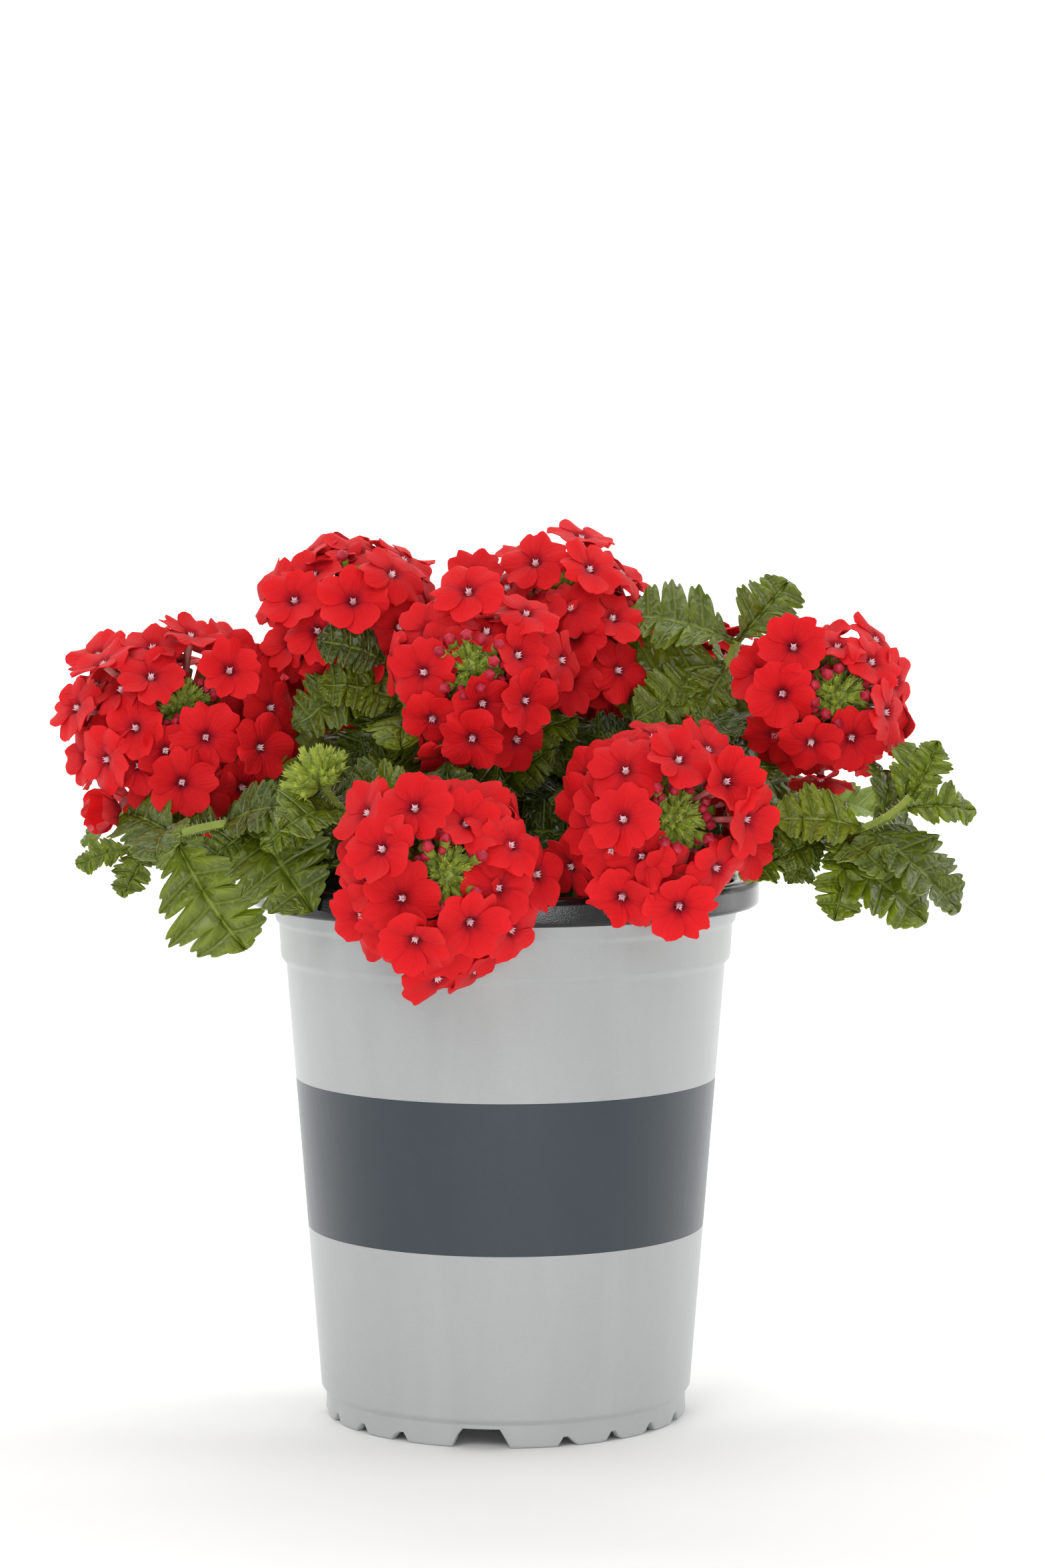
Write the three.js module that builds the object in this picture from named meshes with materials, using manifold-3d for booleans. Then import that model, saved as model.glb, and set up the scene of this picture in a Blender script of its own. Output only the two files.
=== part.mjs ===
import * as THREE from 'three';
import { mergeVertices } from 'three/addons/utils/BufferGeometryUtils.js';
import Module from 'manifold-3d';

const wasm = await Module();
wasm.setup();

// Scarlet garden verbena in its plastic nursery pot. Millimetres, +Z up, the front faces -Y.
// The origin is the middle of the pot's foot, on the surface that the pot stands on.

// Pot: driving dimensions
const potHeight = 132;
const rimRadius = 61.9;
const rimBottom = 125;
const collarRadius = 55.4;
const collarBottom = 112.3;
const shoulderRadius = 53.6; // body just under the collar
const heelRadius = 45.3; // body at its lower end
const footRadius = 44.1;
const footHeight = 5.6;
const footWidth = 2.2;
const potWall = 0.9;
const floorHeight = 5; // underside of the raised floor
const potSides = 26;

const lugCount = 4;
const lugSpan = 26.5; // degrees of the rim that one stacking lug takes
const lugStart = -157;
const lugProud = 0.5;
const lugHeight = 2.6;

const gapCount = 3; // wide gaps in the foot ring, with small notches between them
const gapStart = -97.6;
const gapTopWidth = 9.6;
const gapBottomWidth = 13.8;
const notchesPerGap = 5;
const notchPitch = 16.5; // degrees
const notchTopWidth = 2.4;
const notchBottomWidth = 4.4;
const notchDepth = 2.2;
const drainRadius = 4;
const drainCircle = 33;

// Soil and plant: driving dimensions
const soilTop = 119.5;
const soilCrown = 2.4; // how much higher the soil lies at the crown of the plant
const clearance = 0.35; // between neighbouring pieces
const rootDepth = 9; // how far a stem stands in the soil
const stemRadius = 1.5;
const stemSteps = 5;
const coreRadius = 8.5; // dense middle of a flower head, where the tubes of the florets meet
const tuftRadius = 5.2;
const tuftSpikes = 5;
const tuftSpikeLength = 3.4;
const floretRadius = 8.3;
const floretThickness = 0.7;
const petalHalfAngle = 0.46; // radians from the middle line of a petal to its shoulder
const sinusShare = 0.5; // depth of the cut between two petals, as a share of the radius
const throatDepth = 1.1;
const neckRadius = 1.3;
const neckDepth = 2;
const placedSpacing = 0.6; // least angle between two placed florets, radians
const fillSpacing = 0.78; // least angle between a filling floret and the others
const leafThickness = 0.7;
const leafWidthShare = 0.82;
const leafFold = 0.2;
const leafBend = 0.75; // radians that a leaf turns down from stalk to tip
const leafLean = 1.4; // how far the face of a leaf leans outwards, as a share of upwards
const facingNarrow = 0.5; // leaves face away from a line along Y behind the crown, more to the
const facingBehind = 30; // front and the back than to the sides
const headBall = 2; // how far leaves keep from the eyes of a flower head
const stemBall = 5;
const leafBall = 8;
const goldenAngle = Math.PI * (3 - Math.sqrt(5));

// Half outline of a leaf from stalk to tip, with two lobes: share of the length, share of the width.
const leafEdge = [[0.14, 0.1], [0.34, 0.5], [0.5, 0.27], [0.72, 0.38]];
const leafRib = [0.34, 0.66];

// Flower heads: centre and axis of the dome, its radius, the florets on its front (mm to the right
// of the centre, mm above it), the stem's foot on the soil, how high the stem rises before it leans,
// and the leaves: [place on the stem, compass angle, angle above level, length]. A leaf in
// "pairs" has an equal one opposite.
const heads = [
  { name: 'left', centre: [-79.5, 2, 167], axis: [0.1, -0.8, 0.5], radius: 26,
    florets: [[3.6, 24.8], [-17.3, 16.6], [-6, 16], [12.7, 14.7], [-10.3, 2.3], [9, -0.5], [-24, 6],
      [2.4, -10.6], [23.1, 6.2], [0.8, -21.7], [-14.5, -17.9]],
    foot: [-21, -3], rise: 26, pairs: [[0.62, 80, 10, 28]] },
  { name: 'top_left', centre: [-36, 6, 193], axis: [0.1, -0.68, 0.72], radius: 21.5,
    florets: [[-12.7, 15], [-14, 6], [-9.3, -1], [-0.5, 6], [8.5, 12], [13, 18]],
    foot: [-9, 9], rise: 30, pairs: [[0.62, 60, 20, 28]] },
  { name: 'top_right', centre: [12, 6, 190.8], axis: [0.05, -0.5, 0.86], radius: 23,
    florets: [[-19.2, 14], [-4.7, 17], [8, 15], [-6.4, 5], [19.4, 17.6], [5.2, 0]],
    foot: [6, 11], rise: 30, pairs: [[0.62, 100, 20, 28]] },
  { name: 'centre', centre: [-7.5, -30, 181.5], axis: [-0.05, -0.95, 0.28], radius: 19.8,
    florets: [[-13.8, 14.5], [-1, 18.8], [13.5, 7.1], [13.8, -5.5], [-0.2, -13.5], [-10.5, -10.5],
      [-14, 1.9]],
    foot: [-3, -7], rise: 40, pairs: [[0.5, 5, 25, 25]], leaves: [[0.35, -60, 45, 22]] },
  { name: 'right', centre: [77, -20, 175.2], axis: [0.17, -0.97, 0.16], radius: 19,
    florets: [[-8.6, 13], [2, 16.5], [11.5, 11.5], [-12, 2.5], [-5, -9], [6, -10], [14, -2],
      [-2, -19], [13, -14]],
    foot: [21, -4], rise: 34, pairs: [[0.58, 75, 10, 28]], leaves: [[0.6, -30, -50, 34]] },
  { name: 'front', centre: [-14.8, -66, 137], axis: [0.16, -0.97, 0.14], radius: 22,
    florets: [[-5, 16.4], [7.4, 16.1], [-12, 8], [17.2, 9.1], [-19, 0.9], [-9.9, -3.5], [16.3, -1],
      [-5.2, -12], [8.5, -10], [0, -20.5]],
    foot: [-8, -20], rise: 32, pairs: [[0.36, 175, 30, 20]], leaves: [[0.55, 10, 15, 22]] },
  { name: 'front_right', centre: [35.5, -48, 149], axis: [0.3, -0.94, 0.1], radius: 22,
    florets: [[4.5, 15.2], [-8, 13], [-18.3, 12.4], [-8, 2], [-5, -8.5], [4.3, -17.5], [14.4, -11],
      [19.1, 0.9], [14.7, 9.5]],
    foot: [10, -18], rise: 34, pairs: [[0.4, -10, 20, 22]], leaves: [[0.62, 150, 40, 24]] },
  { name: 'back_right', centre: [50, 40, 170], axis: [0.4, 0.6, 0.6], radius: 21, florets: [],
    foot: [17, 13], rise: 28, pairs: [[0.42, -40, 10, 28], [0.64, 50, 5, 28]] },
  { name: 'back_left', centre: [-48, 44, 168], axis: [-0.35, 0.6, 0.65], radius: 21, florets: [],
    foot: [-17, 16], rise: 28, pairs: [[0.42, 60, 15, 28], [0.66, 140, 5, 28]] },
  { name: 'back', centre: [6, 56, 158], axis: [0.1, 0.85, 0.5], radius: 22, florets: [],
    foot: [3, 25], rise: 30, pairs: [[0.45, 15, 20, 26], [0.66, 100, 20, 24]] },
];

// Shoots that bear leaves only: where the stem ends and its direction there.
const leafyShoots = [
  { name: 'bud', foot: [-15, -18], rise: 24, end: [-43, -42, 157], axis: [-0.45, -0.35, 0.8],
    budHead: 7.6, pairs: [[0.5, 20, 20, 18]],
    leaves: [[0.88, 205, -18, 21], [0.8, 10, 55, 19], [0.8, -20, 10, 14], [0.6, 250, -15, 19]] },
  { name: 'low_left', foot: [-27, -14], rise: 38, end: [-88, -33, 141], axis: [-0.9, -0.2, -0.3],
    pairs: [],
    leaves: [[0.86, -48, -56, 34], [0.6, -72, -14, 33], [0.85, 120, 30, 24], [1, 190, 0, 14],
      [0.92, 215, -35, 16], [0.7, -20, 25, 22]] },
  { name: 'upper_left', foot: [-12, -11], rise: 40, end: [-28, -12, 184], axis: [-0.3, -0.2, 0.9],
    pairs: [[0.76, -100, 5, 24]],
    leaves: [[0.97, 197, -22, 28], [1, 222, 30, 20], [0.9, 172, -5, 26], [0.85, 240, -40, 24]] },
  { name: 'upper_right', foot: [14, 1], rise: 44, end: [56, -6, 189], axis: [0.3, -0.1, 0.95],
    pairs: [[0.5, 80, 15, 26]],
    leaves: [[1, 192, 26, 28], [1, 35, 40, 24], [0.93, 190, 2, 31], [0.93, 235, -35, 21],
      [0.86, -37, -42, 30], [0.86, 60, 20, 24]] },
  { name: 'right', foot: [27, -11], rise: 30, end: [95, -42, 154], axis: [0.6, -0.25, 0.75],
    pairs: [],
    leaves: [[0.84, -26, -32, 30], [0.7, -28, -20, 32], [0.76, -60, -40, 22], [0.72, 225, 0, 16],
      [0.78, 130, 35, 25], [0.9, 100, 50, 20], [0.96, 50, 65, 18], [0.95, -15, 10, 19]] },
  { name: 'back_right', foot: [25, 19], rise: 24, end: [76, 52, 148], axis: [0.8, 0.5, 0.1],
    pairs: [[0.7, -40, 0, 28]], leaves: [[1, 10, -5, 26], [1, 70, -25, 26]] },
  { name: 'back_left', foot: [-26, 8], rise: 24, end: [-84, 44, 147], axis: [-0.8, 0.5, 0.1],
    pairs: [[0.7, 70, 0, 28]], leaves: [[1, 172, -8, 28], [1, 115, -30, 26]] },
  { name: 'back', foot: [-8, 30], rise: 22, end: [-28, 71.5, 143], axis: [-0.3, 0.9, 0.1],
    pairs: [[0.72, 15, 0, 26]], leaves: [[1, 75, -12, 29], [1, 130, -25, 26]] },
];

// ---- small helpers

function vec(numbers) {
  return new THREE.Vector3(...numbers);
}

// A repeatable number between -1 and 1 for each seed.
function wobble(seed) {
  const wave = Math.sin(seed * 12.9898 + 4.1414) * 43758.5453;
  return 2 * (wave - Math.floor(wave)) - 1;
}

// Closed geometry to solid: only positions, shared vertices merged, collapsed triangles left out.
function toSolid(geometry) {
  const bare = geometry.clone();
  bare.deleteAttribute('normal');
  bare.deleteAttribute('uv');
  const merged = mergeVertices(bare, 1e-4);
  const index = merged.index.array;
  const triVerts = [];
  for (let i = 0; i < index.length; i += 3) {
    const [a, b, c] = index.slice(i, i + 3);
    if (a !== b && b !== c && c !== a) triVerts.push(a, b, c);
  }
  return new wasm.Manifold(new wasm.Mesh({
    numProp: 3,
    vertProperties: new Float32Array(merged.attributes.position.array),
    triVerts: new Uint32Array(triVerts),
  }));
}

function geometryOf(points, triangles) {
  const geometry = new THREE.BufferGeometry().setFromPoints(points);
  geometry.setIndex(triangles.flat());
  return geometry;
}

function joined(solids) {
  return solids.reduce((whole, solid) => whole.add(solid));
}

// The piece itself, without the scraps that a cut has freed.
function largestBody(solid) {
  return solid.decompose().sort((a, b) => b.volume() - a.volume())[0];
}

function meshOf(name, solid, material) {
  const { vertProperties, triVerts } = solid.getMesh();
  const geometry = new THREE.BufferGeometry();
  geometry.setAttribute('position', new THREE.BufferAttribute(new Float32Array(vertProperties), 3));
  geometry.setIndex(new THREE.BufferAttribute(new Uint32Array(triVerts), 1));
  geometry.computeVertexNormals();
  const mesh = new THREE.Mesh(geometry, material);
  mesh.name = name;
  return mesh;
}

function turned(profile) {
  const points = profile.map(([radius, height]) => new THREE.Vector2(radius, height));
  return new THREE.LatheGeometry(points, potSides).rotateX(Math.PI / 2);
}

// ---- pot

function potProfile(margin) {
  const inner = -potWall - margin;
  return [
    [0, floorHeight - margin], [footRadius - footWidth - margin, floorHeight - margin],
    [footRadius - footWidth - margin, -margin], [footRadius - 0.7 + margin, -margin],
    [footRadius + margin, 0.7], [footRadius + margin, footHeight], [heelRadius + margin, 6.9],
    [shoulderRadius + margin, collarBottom - 1.3], [collarRadius - 0.5 + margin, collarBottom],
    [collarRadius + margin, rimBottom - 1.8], [collarRadius + 1.4 + margin, rimBottom - 0.2 - margin],
    [rimRadius - 0.7, rimBottom + 0.2 - margin], [rimRadius + margin, rimBottom + 1],
    [rimRadius + margin, potHeight - 1.8], [rimRadius - 0.9 + margin, potHeight - 0.5],
    [rimRadius - 3, potHeight + margin], [collarRadius - margin, potHeight - 1.2],
    [collarRadius + inner, rimBottom - 1.6],
    [collarRadius - 0.5 + inner, collarBottom + 0.1], [shoulderRadius + inner, collarBottom - 1.1],
    [heelRadius + inner, 7.2], [heelRadius + inner - 1, floorHeight + 1 + margin],
    [0, floorHeight + 1 + margin],
  ];
}

// A tapered block that crosses the foot ring from inside to outside, open below.
function footCut(azimuth, topWidth, bottomWidth, depth) {
  const shape = new THREE.Shape([
    new THREE.Vector2(-bottomWidth / 2, -1), new THREE.Vector2(bottomWidth / 2, -1),
    new THREE.Vector2(topWidth / 2, depth), new THREE.Vector2(-topWidth / 2, depth),
  ]);
  const block = new THREE.ExtrudeGeometry(shape, { depth: 8, bevelEnabled: false });
  block.translate(0, 0, footRadius - footWidth - 3).rotateX(Math.PI / 2);
  return toSolid(block.rotateZ(THREE.MathUtils.degToRad(azimuth + 90)));
}

function rimLug(startAzimuth) {
  const start = THREE.MathUtils.degToRad(startAzimuth);
  const end = start + THREE.MathUtils.degToRad(lugSpan);
  const shape = new THREE.Shape();
  shape.absarc(0, 0, rimRadius + lugProud, start, end, false);
  shape.absarc(0, 0, rimRadius - 1.6, end, start, true);
  const options = { depth: lugHeight, bevelEnabled: false, curveSegments: 4 };
  const lug = new THREE.ExtrudeGeometry(shape, options);
  return toSolid(lug.translate(0, 0, potHeight - 1.8 - lugHeight));
}

function makePot() {
  let pot = toSolid(turned(potProfile(0)));
  for (let lug = 0; lug < lugCount; lug += 1) {
    pot = pot.add(rimLug(lugStart + lug * 360 / lugCount));
  }
  for (let gap = 0; gap < gapCount; gap += 1) {
    const azimuth = gapStart + gap * 360 / gapCount;
    pot = pot.subtract(footCut(azimuth, gapTopWidth, gapBottomWidth, floorHeight - 0.4));
    for (let notch = 0; notch < notchesPerGap; notch += 1) {
      const offset = 180 / gapCount + (notch - (notchesPerGap - 1) / 2) * notchPitch;
      pot = pot.subtract(footCut(azimuth + offset, notchTopWidth, notchBottomWidth, notchDepth));
    }
    const drain = new THREE.CylinderGeometry(drainRadius, drainRadius, 4, 8).rotateX(Math.PI / 2);
    drain.translate(0, -drainCircle, floorHeight + 0.5);
    pot = pot.subtract(toSolid(drain.rotateZ(THREE.MathUtils.degToRad(azimuth + 90))));
  }
  return pot;
}

// ---- soil

function soilHeight(x, y) {
  const radius = Math.hypot(x, y);
  const dome = soilCrown * Math.max(0, 1 - (radius / 50) ** 2);
  const lumps = 0.7 * Math.sin(x / 5.1 + 1) * Math.cos(y / 6.3) + 0.4 * Math.sin((x + y) / 3.7);
  return soilTop + dome + lumps * Math.max(0, 1 - radius / 53);
}

function makeSoil() {
  const inner = -potWall - clearance;
  const edge = collarRadius - 0.3 + inner;
  const profile = [
    [0, floorHeight + 1 + clearance], [heelRadius + inner - 1, floorHeight + 1 + clearance],
    [heelRadius + inner, 7.8], [shoulderRadius + inner, collarBottom - 0.6],
    [collarRadius - 0.5 + inner, collarBottom + 1], [edge, soilTop],
    [32, soilTop], [13, soilTop], [0, soilTop],
  ];
  const geometry = turned(profile);
  const position = geometry.attributes.position;
  for (let i = 0; i < position.count; i += 1) {
    const [x, y, z] = [position.getX(i), position.getY(i), position.getZ(i)];
    if (z > soilTop - 0.1 && Math.hypot(x, y) < edge - 1) position.setZ(i, soilHeight(x, y));
  }
  return toSolid(geometry);
}

// ---- stems

function stemCurve(shoot) {
  const end = vec(shoot.end);
  const foot = new THREE.Vector3(shoot.foot[0], shoot.foot[1], soilTop - rootDepth);
  const start = foot.clone();
  start.x *= 1.25;
  start.y *= 1.25;
  start.z = soilTop + shoot.rise;
  const approach = end.clone().addScaledVector(shoot.axis, -0.32 * end.distanceTo(foot));
  return new THREE.CubicBezierCurve3(foot, start, approach, end);
}

// Verbena stems are square.
function stemSolid(shoot, margin) {
  const half = stemRadius + margin;
  const square = [[-half, -half], [half, -half], [half, half], [-half, half]];
  const shape = new THREE.Shape(square.map(([x, y]) => new THREE.Vector2(x * 0.85, y * 0.85)));
  const options = { steps: stemSteps, bevelEnabled: false, extrudePath: shoot.curve };
  return toSolid(new THREE.ExtrudeGeometry(shape, options));
}

// A ball of unopened buds, with pointed calyx teeth on its outer half.
function tuftSolid(centre, axis, radius, margin) {
  const ball = new THREE.IcosahedronGeometry(radius + margin, 0).translate(centre.x, centre.y, centre.z);
  const solids = [toSolid(ball)];
  const [first, second] = acrossAxis(axis);
  for (let i = 0; i < tuftSpikes; i += 1) {
    const polar = 0.25 + 1.1 * i / (tuftSpikes - 1);
    const direction = around(axis, first, second, polar, i * goldenAngle);
    const length = tuftSpikeLength + margin;
    const spike = new THREE.ConeGeometry(1.5 + margin, length + 3, 3).translate(0, length / 2 - 1.5, 0);
    spike.applyQuaternion(new THREE.Quaternion().setFromUnitVectors(new THREE.Vector3(0, 1, 0), direction));
    const root = centre.clone().addScaledVector(direction, radius);
    solids.push(toSolid(spike.translate(root.x, root.y, root.z)));
  }
  return joined(solids);
}

// Two directions square to an axis.
function acrossAxis(axis) {
  const helper = new THREE.Vector3(0.31, 0.12, 0.94);
  const first = new THREE.Vector3().crossVectors(axis, helper).normalize();
  return [first, new THREE.Vector3().crossVectors(axis, first)];
}

// The direction at an angle from an axis, turned about it.
function around(axis, first, second, polar, turn) {
  return axis.clone().multiplyScalar(Math.cos(polar))
    .addScaledVector(first, Math.sin(polar) * Math.cos(turn))
    .addScaledVector(second, Math.sin(polar) * Math.sin(turn));
}

// ---- flower heads

// Directions from the centre of a head to its florets: the front ones as placed, then a spiral
// from the axis outwards that fills what they leave.
function floretDirections(head) {
  const directions = [];
  const clearOf = (direction, spacing) => directions.every((other) => other.angleTo(direction) > spacing);
  for (const [right, above] of head.florets) {
    const share = Math.min(1, 0.97 * head.radius / Math.hypot(right, above));
    const [x, z] = [right * share, above * share];
    const depth = Math.sqrt(head.radius ** 2 - x ** 2 - z ** 2);
    const direction = new THREE.Vector3(x, -depth, z).normalize();
    if (clearOf(direction, placedSpacing)) directions.push(direction);
  }
  const [first, second] = acrossAxis(head.axis);
  const steps = 90;
  for (let i = 0; i < steps; i += 1) {
    const polar = 0.72 + 0.9 * i / steps;
    const direction = around(head.axis, first, second, polar, i * goldenAngle);
    if (clearOf(direction, fillSpacing)) directions.push(direction);
  }
  return directions;
}

// Five broad petals on a thin tube whose end is sunk in the core.
function floretSolid(head, direction, seed, margin) {
  const eye = head.centre.clone().addScaledVector(direction, head.radius - 0.6 + 1.2 * wobble(seed + 3));
  const facing = direction.clone().addScaledVector(head.axis, 0.3).normalize();
  const [first, second] = acrossAxis(facing);
  const radius = floretRadius * (1 + 0.06 * wobble(seed)) + margin;
  const cup = 0.1 + 0.14 * wobble(seed + 1);
  const spin = 2 * Math.PI * wobble(seed + 2);
  const at = (angle, reach, height) => eye.clone()
    .addScaledVector(first, reach * Math.cos(angle))
    .addScaledVector(second, reach * Math.sin(angle))
    .addScaledVector(facing, height);
  const outline = [];
  for (let petal = 0; petal < 5; petal += 1) {
    const middle = spin + petal * 2 * Math.PI / 5;
    const tip = cup * radius * (1 + 0.5 * wobble(seed + 5 + petal));
    outline.push([middle - Math.PI / 5, sinusShare * radius, 0]);
    outline.push([middle - petalHalfAngle, radius, tip], [middle + petalHalfAngle, radius, tip]);
  }
  const count = outline.length;
  const points = [at(0, 0, margin - throatDepth)];
  for (const [angle, reach, height] of outline) points.push(at(angle, reach, height + margin));
  for (const [angle, reach, height] of outline) {
    points.push(at(angle, reach, height - floretThickness - margin));
  }
  const neck = points.length;
  for (let j = 0; j < 3; j += 1) {
    const angle = outline[5 * j + 2][0];
    points.push(at(angle, neckRadius + margin, -neckDepth - margin));
  }
  const root = points.length;
  points.push(head.centre.clone().addScaledVector(direction, 0.5 * coreRadius));
  const triangles = [];
  for (let i = 0; i < count; i += 1) {
    const next = (i + 1) % count;
    const [top, topNext, low, lowNext] = [1 + i, 1 + next, 1 + count + i, 1 + count + next];
    const own = neck + Math.floor(i / 5);
    triangles.push([0, top, topNext], [low, lowNext, topNext], [low, topNext, top]);
    triangles.push([lowNext, low, own]);
    if (i % 5 === 4) {
      const other = neck + (Math.floor(i / 5) + 1) % 3;
      triangles.push([own, other, lowNext], [root, other, own]);
    }
  }
  return toSolid(geometryOf(points, triangles));
}

function floretsSolid(head, margin) {
  const core = new THREE.OctahedronGeometry(coreRadius + margin, 0);
  core.translate(head.centre.x, head.centre.y, head.centre.z);
  const florets = head.directions.map((direction, i) => (
    floretSolid(head, direction, head.seed + 17 * i, margin)
  ));
  return joined([toSolid(core), ...florets]);
}

// ---- leaves

// Balls that stand for what is already placed: heads, stems and earlier leaves.
const obstacles = [];

// A leaf leans away from the balls that it would run into.
function bentClear(shoot, base, direction, length) {
  const bent = direction.clone();
  for (let round = 0; round < 12; round += 1) {
    const push = new THREE.Vector3();
    for (const { centre, radius, owner } of obstacles) {
      if (owner === shoot.name) continue;
      for (const share of [0.5, 1]) {
        const away = base.clone().addScaledVector(bent, length * share).sub(centre);
        const gap = away.length() - radius;
        if (gap < 0) push.addScaledVector(away.normalize(), -0.6 * gap / length);
      }
    }
    if (push.lengthSq() === 0) break;
    bent.add(push).normalize();
  }
  return bent;
}

function leavesOf(shoot) {
  const all = [];
  for (const [place, compass, rise, length] of shoot.pairs) {
    all.push([place, compass, rise, length], [place, compass + 180, rise, length]);
  }
  all.push(...(shoot.leaves ?? []));
  return all.map(([place, compass, rise, length], i) => {
    const seed = shoot.seed + 31 * i;
    const azimuth = THREE.MathUtils.degToRad(compass + 8 * wobble(seed));
    const level = THREE.MathUtils.degToRad(rise + 6 * wobble(seed + 1));
    const out = new THREE.Vector3(Math.cos(azimuth), Math.sin(azimuth), 0);
    const aim = out.clone().multiplyScalar(Math.cos(level));
    aim.z = Math.sin(level);
    const base = shoot.curve.getPoint(place);
    const direction = bentClear(shoot, base, aim, length);
    for (const share of [0.45, 0.9]) {
      const centre = base.clone().addScaledVector(direction, length * share);
      obstacles.push({ centre, radius: leafBall, owner: null });
    }
    const outward = new THREE.Vector3(facingNarrow * base.x, base.y - facingBehind, 0).normalize();
    const lift = new THREE.Vector3(0, 0, 1).addScaledVector(outward, leafLean);
    const normal = lift.addScaledVector(direction, -lift.dot(direction)).normalize();
    const side = new THREE.Vector3().crossVectors(normal, direction);
    const width = length * leafWidthShare * (1 + 0.08 * wobble(seed + 2));
    const bend = leafBend * (1 + 0.5 * wobble(seed + 3));
    return { base, direction, normal, side, length, width, bend };
  });
}

function leafSolid(leaf, margin) {
  const spread = 1 + 2 * margin / leaf.width;
  const at = (along, across, sign) => {
    const turn = leaf.bend * along * (1 + margin / leaf.length);
    const reach = leaf.length * Math.sin(turn) / leaf.bend;
    const drop = leaf.length * (1 - Math.cos(turn)) / leaf.bend;
    const rise = leafFold * Math.abs(across) * leaf.width + sign * (leafThickness / 2 + margin);
    return leaf.base.clone()
      .addScaledVector(leaf.direction, reach + rise * Math.sin(turn))
      .addScaledVector(leaf.normal, rise * Math.cos(turn) - drop)
      .addScaledVector(leaf.side, across * leaf.width * spread);
  };
  const lobes = leafEdge.length;
  const outline = [[0, 0], ...leafEdge.map(([u, v]) => [u, -v]), [1, 0],
    ...leafEdge.map(([u, v]) => [u, v]).reverse()];
  const flat = [...outline, ...leafRib.map((u) => [u, 0])];
  const points = [1, -1].flatMap((sign) => flat.map(([u, v]) => at(u, v, sign)));
  const edge = outline.length;
  const [tip, rib] = [lobes + 1, edge];
  // One half of the blade between its edge points 0 to 5 and its two rib points.
  const half = [[0, 1, rib], [1, 2, rib], [2, 3, rib], [3, rib + 1, rib], [3, 4, rib + 1],
    [4, tip, rib + 1]];
  const mirror = (i) => (i >= edge ? i : (edge - i) % edge);
  const face = [...half, ...half.map(([a, b, c]) => [mirror(c), mirror(b), mirror(a)])];
  const under = flat.length;
  const triangles = [...face, ...face.map(([a, b, c]) => [c + under, b + under, a + under])];
  for (let i = 0; i < edge; i += 1) {
    const next = (i + 1) % edge;
    triangles.push([i + under, next + under, next], [i + under, next, i]);
  }
  return toSolid(geometryOf(points, triangles));
}

// ---- the plant, worked out in the order in which neighbours give way to each other

for (const [i, head] of heads.entries()) {
  head.centre = vec(head.centre);
  head.axis = vec(head.axis).normalize();
  head.seed = 1000 * (i + 1);
  head.tuft = head.centre.clone().addScaledVector(head.axis, 0.66 * head.radius);
  head.end = head.tuft.toArray();
  head.directions = floretDirections(head);
}
for (const [i, shoot] of leafyShoots.entries()) {
  shoot.axis = vec(shoot.axis).normalize();
  shoot.seed = 1000 * (i + 1 + heads.length);
  if (shoot.budHead) shoot.tuft = vec(shoot.end).addScaledVector(shoot.axis, 0.8 * shoot.budHead);
}

const shoots = [...heads, ...leafyShoots];
for (const shoot of shoots) {
  shoot.curve = stemCurve(shoot);
  if (shoot.centre) obstacles.push({ centre: shoot.centre, radius: shoot.radius + headBall, owner: null });
  for (const place of [0.3, 0.45, 0.6, 0.75, 0.9]) {
    obstacles.push({ centre: shoot.curve.getPoint(place), radius: stemBall, owner: shoot.name });
  }
}

// Stem and bud tuft together: nothing crosses them.
function stalk(shoot, margin) {
  const stem = stemSolid(shoot, margin);
  if (!shoot.tuft) return stem;
  return stem.add(tuftSolid(shoot.tuft, shoot.axis, shoot.budHead ?? tuftRadius, margin));
}

const stalks = shoots.map((shoot) => stalk(shoot, 0));
const wideStalks = shoots.map((shoot) => stalk(shoot, clearance));
const widePot = toSolid(turned(potProfile(lugProud + clearance)));
const wideFlorets = heads.map((head) => floretsSolid(head, clearance));

// Florets give way to all stems, to the pot and to the heads before them.
const florets = heads.map((head, i) => {
  let solid = floretsSolid(head, 0).subtract(widePot);
  for (const wide of wideStalks) solid = solid.subtract(wide);
  for (const wide of wideFlorets.slice(0, i)) solid = solid.subtract(wide);
  return largestBody(solid);
});

// Leaves give way to everything before them.
const soil = makeSoil();
const wideSoil = soil.translate([0, 0, clearance]);
const wideLeaves = [];
const greens = shoots.map((shoot, i) => {
  const leaves = leavesOf(shoot);
  let blades = joined(leaves.map((leaf) => leafSolid(leaf, 0)));
  for (const wide of [widePot, wideSoil, ...wideFlorets, ...wideLeaves]) blades = blades.subtract(wide);
  for (const [j, wide] of wideStalks.entries()) {
    if (j !== i) blades = blades.subtract(wide);
  }
  wideLeaves.push(joined(leaves.map((leaf) => leafSolid(leaf, clearance))));
  return largestBody(stalks[i].add(blades));
});

const soilWithHoles = wideStalks.reduce((solid, wide) => solid.subtract(wide), soil);

// ---- the assembly

const potPlastic = new THREE.MeshStandardMaterial({ color: '#b4b6b6', roughness: 0.45, metalness: 0 });
const peat = new THREE.MeshStandardMaterial({ color: '#2b211a', roughness: 0.95, metalness: 0 });
const petalRed = new THREE.MeshStandardMaterial({ color: '#dc2a2e', roughness: 0.6, metalness: 0 });
const leafGreen = new THREE.MeshStandardMaterial({ color: '#56702a', roughness: 0.5, metalness: 0 });

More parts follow.
